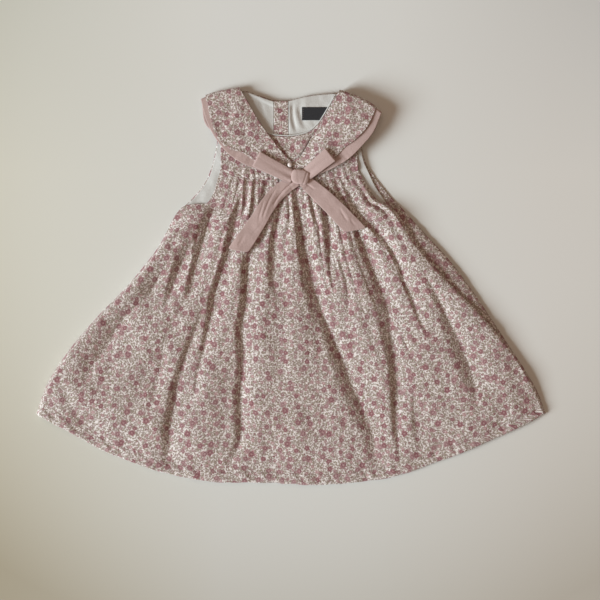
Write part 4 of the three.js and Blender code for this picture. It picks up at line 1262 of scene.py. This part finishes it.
def collar_points(side, kind, rows=COLLAR_ROWS, turn_rows=18, back_rows=40, columns=64):
    """One sheet of the collar: front, shoulder turn and back."""
    table, layer, shoulder = COLLAR_FRONT[side], COLLAR_LAYERS[kind], SHOULDERS[side]
    inner = station_line(table["inner"], rows)
    outer = station_line(table[kind], rows)
    widest = station_line(table["plain"], rows)
    w = np.linspace(0, 1, columns)[None, :, None]
    t = np.linspace(0, 1, rows)[:, None]
    front = inner[:, None] * (1 - w) + outer[:, None] * w
    share = np.linalg.norm(front - inner[:, None], axis=2) / np.linalg.norm(widest - inner, axis=1)[:, None]
    bulge = shoulder["bow"] * 4 * share * (1 - share) * step(t, 0.75, 1)
    out = np.array([*shoulder["out"], 0.0])
    front = front + bulge[..., None] * out
    x, y = front[..., 0], front[..., 1]
    edge = np.minimum(w[..., 0], 1 - w[..., 0]) * np.linalg.norm(outer - inner, axis=1)[:, None]
    body = step(edge, 0, 16) * step(t, 0.0, 0.2) * (1 - step(t, 0.9, 1))
    waves = soft_noise(x - 0.6 * y, y + 0.6 * x, 13, 30, layer["seed"]) + 0.8
    ripple = 0.5 * soft_noise(x, y, 6, 7, layer["seed"] + 1)
    height = layer["lift"] * body * (waves + ripple)
    height += shoulder["climb"] * t + shoulder["lean"] * share * step(t, 0.05, 0.3) * (1 - step(t, 0.7, 1))
    if kind == "printed":
        curl = 0.6 + 0.6 * soft_noise(t * rows * 1.3 + 0 * x, 0 * x, 9, 1, 85)
        height += curl * step(w[..., 0], 0.86, 1) * step(t, 0.04, 0.15) * (1 - step(t, 0.85, 1))
    if kind == "plain":
        walked = t * rows * 1.3 + 0 * y
        pinch = soft_noise(walked + 9 * share, walked * 0, 7, 1, 83)
        pinch += 0.5 * soft_noise(walked, share * 40, 3.5, 30, 84)
        height += 0.75 * pinch * step(share, 0.55, 0.9) * (1 - step(t, 0.5, 0.7)) * step(t, 0, 0.1)
        height += 0.9 * step(share, 0.75, 1) * step(t, 0.05, 0.2) * (1 - step(t, 0.55, 0.8))
    front[..., 2] = layer_top(layer["number"], y) + height
    middle = layer_top(layer["number"], RISE_TO) - CLOTH / 2
    radius = (middle - layer["back"]) / 2 + CLOTH / 2
    half_rise = radius + shoulder["climb"] / 2
    centre_z = (middle + layer["back"] + shoulder["climb"]) / 2
    angles = (np.pi * np.arange(1, turn_rows + 1) / turn_rows)[:, None, None]
    turn = front[-1][None] + out * radius * np.sin(angles)
    turn[..., 2] = centre_z + half_rise * np.cos(angles[..., 0])
    back_table = COLLAR_BACK_HALF[side]
    back_inner = station_line(back_table["inner"], back_rows)[1:]
    back_outer = station_line(back_table[kind], back_rows)[1:]
    back = back_inner[:, None] * (1 - w) + back_outer[:, None] * w
    back[..., 2] = layer["back"] - CLOTH / 2
    return np.concatenate([front, turn, back])


def collar_place(points, out, rows=COLLAR_ROWS):
    """The print's place on a collar: its plan on the front, then carried over the shoulder."""
    place = points.copy()
    steps = np.linalg.norm(np.diff(points[rows - 1:], axis=0), axis=2)
    walked = np.cumsum(steps, axis=0)
    place[rows:] = points[rows - 1][None] + np.array([*out, 0.0]) * walked[..., None]
    place[..., 2] = 0
    return place


for side, shift in (("left", 7), ("right", 57)):
    sheet_points = collar_points(side, "plain")
    plain = cloth_object(f"collar_plain_{side}_cloth", sheet_points, turned=True,
                         place=collar_place(sheet_points, SHOULDERS[side]["out"]))
    settle(plain, PLAIN, [f"collar_plain_{side}", f"collar_plain_back_{side}"])
    sheet_points = collar_points(side, "printed")
    printed = cloth_object(f"collar_print_{side}_cloth", sheet_points, turned=True, print_shift=(shift, 33),
                           place=collar_place(sheet_points, SHOULDERS[side]["out"]))
    settle(printed, PRINTED, [f"collar_print_{side}", f"collar_print_back_{side}"])

# %% [markdown]
# The bow is one ribbon of mauve cotton, tied flat. A loop is the ribbon going out, turning
# and coming back over itself. Its path is a row of stations with a width, and it climbs far
# enough to clear the collar under its end.

# %% Bow loops
BOW_SEAT = 7.4
BOW_CLIMB = 0.9
LOOP_BEND = 0.7
LOOPS = dict(
    left=dict(start=(2.5, 123.5), end=(-39.2, 145), knot_width=15.5, far_width=18.5),
    right=dict(start=(17.5, 127.4), end=(44.8, 149.2), knot_width=14.5, far_width=18.5),
)


def loop_climb(side):
    """How far a loop climbs to clear the printed collar under its far end."""
    collar = collar_points(side, "printed")[:COLLAR_ROWS].reshape(-1, 3)
    near = np.linalg.norm(collar[:, :2] - LOOPS[side]["end"], axis=1) < 10
    return max(BOW_CLIMB, collar[near, 2].max() + 0.1 - BOW_SEAT)


def loop_points(climb, start, end, knot_width, far_width, rows=40, turn_rows=9, columns=26):
    """A loop's outer face: out underneath, round the end, back above."""
    start, end = np.array(start), np.array(end)
    length = float(np.linalg.norm(end - start))
    forward = (end - start) / length
    across = np.array([-forward[1], forward[0]])
    flat = length - LOOP_BEND
    low = BOW_SEAT + CLOTH / 2
    radius = LOOP_BEND + 0.3
    stations = [(s, low + climb * s / length - 0.3, 0.0) for s in np.linspace(0, flat, rows)]
    for angle in np.linspace(-np.pi / 2, np.pi / 2, turn_rows + 2)[1:-1]:
        z = low + climb + LOOP_BEND + radius * np.sin(angle)
        stations.append((flat + radius * np.cos(angle), z, 0.5))
    for s in np.linspace(flat, 0, rows):
        crown = 0.6 * math.sin(math.pi * s / length)
        stations.append((s, low + climb * s / length + 2 * LOOP_BEND + 0.3 + crown, 1.0))
    w = np.linspace(-1, 1, columns)
    points = np.zeros((len(stations), columns, 3))
    for i, (s, z, upper) in enumerate(stations):
        half = (knot_width + (far_width - knot_width) * s / length) / 2
        plan = start + forward * s
        points[i, :, :2] = plan + across * (w * half)[:, None]
        pinch = math.exp(-s / 10.0)
        crease = -0.75 * pinch * np.cos(w * 6.0 + 0.8) - 0.12 * np.exp(-((w - 0.25 + s * 0.012) / 0.16) ** 2)
        points[i, :, 2] = z + upper * (crease + 0.5 * (1 - w ** 2) * (1 - pinch))
    return points


for side in ("left", "right"):
    climb = loop_climb(side)
    print(side, "loop climbs", round(climb, 2), "mm")
    loop = cloth_object(f"bow_loop_{side}_ribbon", loop_points(climb, **LOOPS[side]), 0.5, turned=True)
    settle(loop, PLAIN, [f"bow_loop_{side}"])

# %% [markdown]
# A tail can't lie flat, because the gathers are under it. Its height follows the highest ridge
# near it, its end is cut on a slant, and a few listed creases are pressed in.

# %% Bow tails
TAILS = dict(
    left=[(6.5, 121, 14), (-5.2, 114.4, 17), (-16.7, 104.6, 18), (-25.9, 93.2, 18.5), (-38, 73.6, 20),
          (-51.8, 52.9, 21), (-60.5, 40.5, 21.5)],
    right=[(14.5, 121.0, 15), (25.3, 111.8, 18), (37, 101.2, 20), (50, 88.7, 21), (62, 76.0, 21.5),
           (73.5, 64.0, 22)],
)
RIDGE_REACH = 9.0
TAIL_ENDS = dict(left=(5.6, -4.6), right=(-6.5, 8.0))
# Place across, start and end along the tail, depth and drift of each crease
TAIL_CREASES = dict(
    left=[(0.05, 0.02, 0.40, 0.9, 1.4), (-0.55, 0.22, 0.58, 0.55, 2.4), (-0.75, 0.38, 0.62, 0.4, 3.2),
          (0.6, 0.60, 0.80, 0.25, -2.0), (-0.4, 0.80, 0.97, 0.3, 1.0)],
    right=[(0.35, 0.62, 0.86, 0.45, -1.6), (-0.2, 0.0, 0.22, 0.35, 0.8), (0.5, 0.80, 0.95, 0.3, -2.0)],
)


def cloth_below(x, y, reach):
    """Highest point of the skirt front near each plan point."""
    field = front_points.reshape(-1, 3)[::3]
    field = field[(field[:, 1] > 20) & (np.abs(field[:, 0]) < 110)]
    far = (x.ravel()[:, None] - field[None, :, 0]) ** 2 + (y.ravel()[:, None] - field[None, :, 1]) ** 2
    heights = np.where(far < reach * reach, field[None, :, 2], 0).max(axis=1)
    return heights.reshape(x.shape)


def tail_points(side, rows=110, columns=26):
    """A tail's upper face, resting on the ridges under it."""
    table = TAILS[side]
    middle = even_line([row[:2] for row in table], rows)
    widths = np.interp(np.linspace(0, 1, rows), np.linspace(0, 1, len(table)), [row[2] for row in table])
    ahead = directions(middle)
    across = np.stack([-ahead[:, 1], ahead[:, 0], np.zeros(rows)], axis=1)
    w = np.linspace(-1, 1, columns)[None, :]
    t = np.linspace(0, 1, rows)[:, None]
    points = middle[:, None] + across[:, None] * (w * widths[:, None] / 2)[..., None]
    low_end, high_end = TAIL_ENDS[side]
    slant = (low_end + high_end) / 2 + (high_end - low_end) / 2 * w - 2.4 * np.abs(w) ** 6
    points = points + ahead[:, None] * (slant * step(t, 0.75, 1))[..., None]
    x, y = points[..., 0], points[..., 1]
    rest = cloth_below(x[::4, ::4], y[::4, ::4], RIDGE_REACH).max(axis=1)
    rest = np.convolve(np.pad(rest, 2, mode="edge"), np.ones(5) / 5, mode="valid")
    seat = np.interp(np.linspace(0, 1, rows), np.linspace(0, 1, len(rest)), rest)[:, None]
    start = (BOW_SEAT + 0.6) * (1 - step(t, 0.05, 0.3))
    z = np.maximum(seat + 0.75, start + 0.4)
    crease = np.zeros_like(x)
    for place, begin, finish, depth, drift in TAIL_CREASES[side]:
        active = step(t, begin, begin + 0.06) * (1 - step(t, finish - 0.06, finish))
        off = w - place - drift * (t - begin)
        crease -= depth * active * np.exp(-(off / 0.10) ** 2)
        crease += 0.6 * depth * active * np.exp(-((off - 0.3) / 0.2) ** 2)
    points[..., 2] = z + crease + 0.3 * (1 - w ** 2) + 0.35 * soft_noise(x, y, 8, 10, 101)
    return points


for side in ("left", "right"):
    tail = cloth_object(f"bow_tail_{side}_ribbon", tail_points(side), 0.5)
    settle(tail, PLAIN, [f"bow_tail_{side}"])

# %% [markdown]
# The knot is the ribbon wrapped once round the crossing. It is a pillow with squared corners,
# pinched at its left and right where the loops go in, with two creases pressed along the wrap.

# %% Knot
KNOT = dict(x=10.8, y=124.6, width=21, depth=17, height=5.4, turn=-0.18)
CORNER_SQUARE = 0.6
WAIST, PINCH = 0.06, 0.30


def knot_object():
    """A wrapped pillow with pinched ends and two creases."""
    shape = bmesh.new()
    bmesh.ops.create_uvsphere(shape, u_segments=72, v_segments=44, radius=1.0)
    for vert in shape.verts:
        x, y, z = vert.co
        squared = [math.copysign(abs(value) ** CORNER_SQUARE, value) for value in (x, y, z)]
        waist = 1 - WAIST * squared[0] ** 2
        crease = 0.09 * math.exp(-((squared[0] - 0.55 - 0.12 * y) / 0.07) ** 2)
        crease += 0.03 * math.exp(-((squared[0] + 0.25 + 0.3 * y) / 0.10) ** 2)
        height = squared[2] * (1 - crease * 2.0) * (1 - PINCH * squared[0] ** 4)
        vert.co = Vector((squared[0] * KNOT["width"] / 2 * (1 + 0.05 * y),
                          squared[1] * KNOT["depth"] / 2 * waist * (1 - crease),
                          height * KNOT["height"] / 2))
    mesh = bpy.data.meshes.new("bow_knot_ribbon")
    shape.to_mesh(mesh)
    shape.free()
    spin = KNOT["turn"]
    centre = Vector((KNOT["x"], KNOT["y"] + PLAN_SHIFT_Y, BOW_SEAT + KNOT["height"] / 2))
    places = []
    for vert in mesh.vertices:
        x, y, z = vert.co
        places.append((x, y * 1.4 + z, 0))
        across = x * math.cos(spin) - y * math.sin(spin)
        up = x * math.sin(spin) + y * math.cos(spin)
        vert.co = (Vector((across, up, z)) + centre) * MM
    return finish_mesh(mesh, places)


knot = knot_object()
settle(knot, PLAIN, ["bow_knot"])

# %% [markdown]
# At the point of the V sits a pearl button, with a loop of fine cord beside it. The pearl is a
# flattened ball with a faint warm cloud in its colour and a clear coat for its lustre.

# %% Pearl and loop
PEARL_SEAT_Y = 140
PEARL = dict(x=-1.2, y=138.4, diameter=5.6, height=4.0)
THREAD_LOOP = dict(x=11.6, y=140.6, length=10.4, width=4.2, thread=1.2, turn=-0.33)


def pearl_material():
    """Warm white pearl with a coat."""
    material, tree, shader, _ = new_material("pearl_white", {
        "Roughness": 0.28, "Coat Weight": 0.6, "Coat Roughness": 0.12})
    place = tree.nodes.new("ShaderNodeTexCoord")
    cloud = noise_node(tree, place.outputs["Object"], 500.0, 2.0).outputs[0]
    color = mix_colors(tree, cloud, (0.80, 0.68, 0.62, 1), (0.76, 0.72, 0.71, 1))
    tree.links.new(color, shader.inputs["Base Color"])
    return material


def pearl_object():
    """A flattened ball."""
    shape = bmesh.new()
    bmesh.ops.create_uvsphere(shape, u_segments=40, v_segments=24, radius=PEARL["diameter"] / 2)
    top = layer_top(4, PEARL_SEAT_Y) + SEAM
    for vert in shape.verts:
        vert.co.z *= PEARL["height"] / PEARL["diameter"]
        vert.co += Vector((PEARL["x"], PEARL["y"] + PLAN_SHIFT_Y, top + PEARL["height"] / 2))
        vert.co *= MM
    mesh = bpy.data.meshes.new("pearl_ball")
    shape.to_mesh(mesh)
    shape.free()
    return finish_mesh(mesh)


pearl = pearl_object()
settle(pearl, pearl_material(), ["pearl_button"])

loop_angles = np.linspace(0, 2 * np.pi, 73)
loop_x = THREAD_LOOP["length"] / 2 * np.cos(loop_angles)
loop_y = THREAD_LOOP["width"] / 2 * np.sin(loop_angles)
spin = THREAD_LOOP["turn"]
loop_route = np.stack([
    THREAD_LOOP["x"] + loop_x * math.cos(spin) - loop_y * math.sin(spin),
    THREAD_LOOP["y"] + loop_x * math.sin(spin) + loop_y * math.cos(spin),
    np.full(73, layer_top(4, PEARL_SEAT_Y) + SEAM + THREAD_LOOP["thread"] / 2),
], axis=1)
thread_loop = roll_along("thread_loop_cord", loop_route[:-1], THREAD_LOOP["thread"] * 0.58)
settle(thread_loop, LOOP_THREAD, ["thread_loop"])

# %% [markdown]
# Sewing is what tells cloth from paper. A row of stitches is a line on the finished surface,
# cut into short dashes of thread, and all the dashes of one seam join into one mesh. The rows
# are the hem of the skirt, the outer edges of the printed collar, and the label's left end.

# %% Rows of stitches


def stitch_row(name, lines, length=2.2, gap=1.4, radius=0.22, sides=6):
    """Short threads along surface lines, in one mesh."""
    verts, faces = [], []
    for line in lines:
        walked = np.concatenate([[0], np.cumsum(np.linalg.norm(np.diff(line, axis=0), axis=1))])
        for start in np.arange(gap, walked[-1] - length, length + gap):
            places = start + length * np.array([0, 0.15, 0.5, 0.85, 1])
            route = np.stack([np.interp(places, walked, line[:, k]) for k in range(3)], axis=1)
            route[:, 2] += 0.05 + 0.1 * np.array([-1, 0.6, 1, 0.6, -1])
            ahead = route[-1] - route[0]
            side = np.cross(ahead, [0, 0, 1.0])
            side /= np.linalg.norm(side)
            first = len(verts)
            for point, size in zip(route, (0.35, 0.9, 1, 0.9, 0.35)):
                for angle in 2 * np.pi * np.arange(sides) / sides:
                    ring = side * np.cos(angle) + np.array([0, 0, 1.0]) * np.sin(angle)
                    verts.append(point + radius * size * ring)
            faces += tube_faces(len(route), sides, first)
    verts = np.array(verts)
    piece = new_piece(name, verts, faces, verts + [0, PLAN_SHIFT_Y, 0])
    piece.data.materials.append(SEWING_THREAD)
    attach(piece, "root")
    print(name, "faces:", len(piece.data.polygons))


SEWING_THREAD = cloth_material("sewing_thread", (0.36, 0.27, 0.245, 1), threads=5.0, crinkle=0.1)
HEM_ROW = int(0.972 * (front_points.shape[0] - 1))
stitch_row("hem_stitches", [front_points[HEM_ROW, 2:-2]])
collar_lines = [collar_points(side, "printed")[8:100, -4] for side in ("left", "right")]
stitch_row("collar_stitches", collar_lines, length=1.8, gap=1.2)
tab = label_points()
stitch_row("label_stitches", [tab[2:-2, 2]], length=1.4, gap=0.9, radius=0.18)

# %% [markdown]
# Last come the table and the light. The table is pale and a little warm, with painted shade that
# darkens it away from its middle and painted tints of warmer and cooler light near its edges.
# One large soft light stands low on the left, so the folds' right-hand sides and the table on
# the right of the dress fall into soft shade, and a pale sky fills the rest.

# %% Table and lights


def table_material():
    """Pale painted board with faint clouds, painted shade away from its middle and painted light tints."""
    material, tree, shader, calc = new_material("pale_table", {
        "Roughness": 0.9, "Specular IOR Level": 0.1})
    place = tree.nodes.new("ShaderNodeTexCoord")
    cloud = noise_node(tree, place.outputs["Object"], 3.0, 3.0).outputs[0]
    color = mix_colors(tree, cloud, (0.775, 0.785, 0.75, 1), (0.79, 0.805, 0.785, 1))
    # Painted shade: the board darkens towards a warm grey the farther it lies from a point near the dress's
    # neck.
    middle = vector_node(tree, "SUBTRACT", place.outputs["Object"], (0.02, 0.20, 0))
    away = vector_node(tree, "LENGTH", middle.outputs[0]).outputs["Value"]
    wear_and_painted_shade = calc.divide(calc.subtract(away, 0.30), 0.33, True)
    wear_and_painted_shade = calc.multiply(wear_and_painted_shade, wear_and_painted_shade)
    color = mix_colors(tree, wear_and_painted_shade, color, (0.545, 0.528, 0.468, 1))
    parts = tree.nodes.new("ShaderNodeSeparateXYZ")
    tree.links.new(place.outputs["Object"], parts.inputs[0])
    x, y, _ = parts.outputs
    left = calc.divide(calc.subtract(-0.08, x), 0.26, True)
    right = calc.divide(calc.subtract(x, 0.10), 0.20, True)
    upper = calc.divide(calc.subtract(y, 0.13), 0.20, True)
    far = calc.divide(calc.subtract(calc.absolute(x), 0.12), 0.22, True)
    # Painted light: a yellow tint on the left side, a darker warm tint where the left side meets the painted
    # shade, a faint warm tint on the right, and a cooler, darker tint at the upper corners.
    tints = [
        (left, (0.96, 0.94, 0.85, 1)),
        (calc.multiply(left, wear_and_painted_shade), (0.86, 0.82, 0.77, 1)),
        (right, (0.985, 0.96, 0.945, 1)),
        (calc.multiply(upper, far), (0.88, 0.895, 0.91, 1)),
    ]
    for share, tint in tints:
        color = mix_colors(tree, share, color, mix_colors(tree, 1.0, color, tint, "MULTIPLY"))
    tree.links.new(color, shader.inputs["Base Color"])
    return material


bpy.ops.mesh.primitive_plane_add(size=8, location=(0, 0, -0.0002))
table = bpy.context.object
table.name = "pale_table"
table.data.materials.append(table_material())


def area_light(name, location, target, size, power, color):
    """A square soft light that faces a point."""
    data = bpy.data.lights.new(name, "AREA")
    data.shape = "SQUARE"
    data.size = size
    data.energy = power
    data.color = color
    light = bpy.data.objects.new(name, data)
    light.location = location
    light.rotation_euler = (Vector(target) - Vector(location)).to_track_quat("-Z", "Y").to_euler()
    bpy.context.collection.objects.link(light)
    return light


area_light("window_left", location=(-8.16, -2.94, 3.97), target=(0, 0, 0), size=4.3, power=1345,
           color=(0.86, 0.95, 1.0))
area_light("sky_above", location=(0.2, 0.8, 2.6), target=(0, 0.05, 0), size=2.4, power=9,
           color=(1.0, 0.86, 0.74))

world = bpy.data.worlds.new("pale_room")
world.use_nodes = True
world.node_tree.nodes["Background"].inputs[0].default_value = (1.0, 0.645, 0.425, 1)
world.node_tree.nodes["Background"].inputs[1].default_value = 0.20
bpy.context.scene.world = world
print("lights:", [light.name for light in bpy.data.lights])
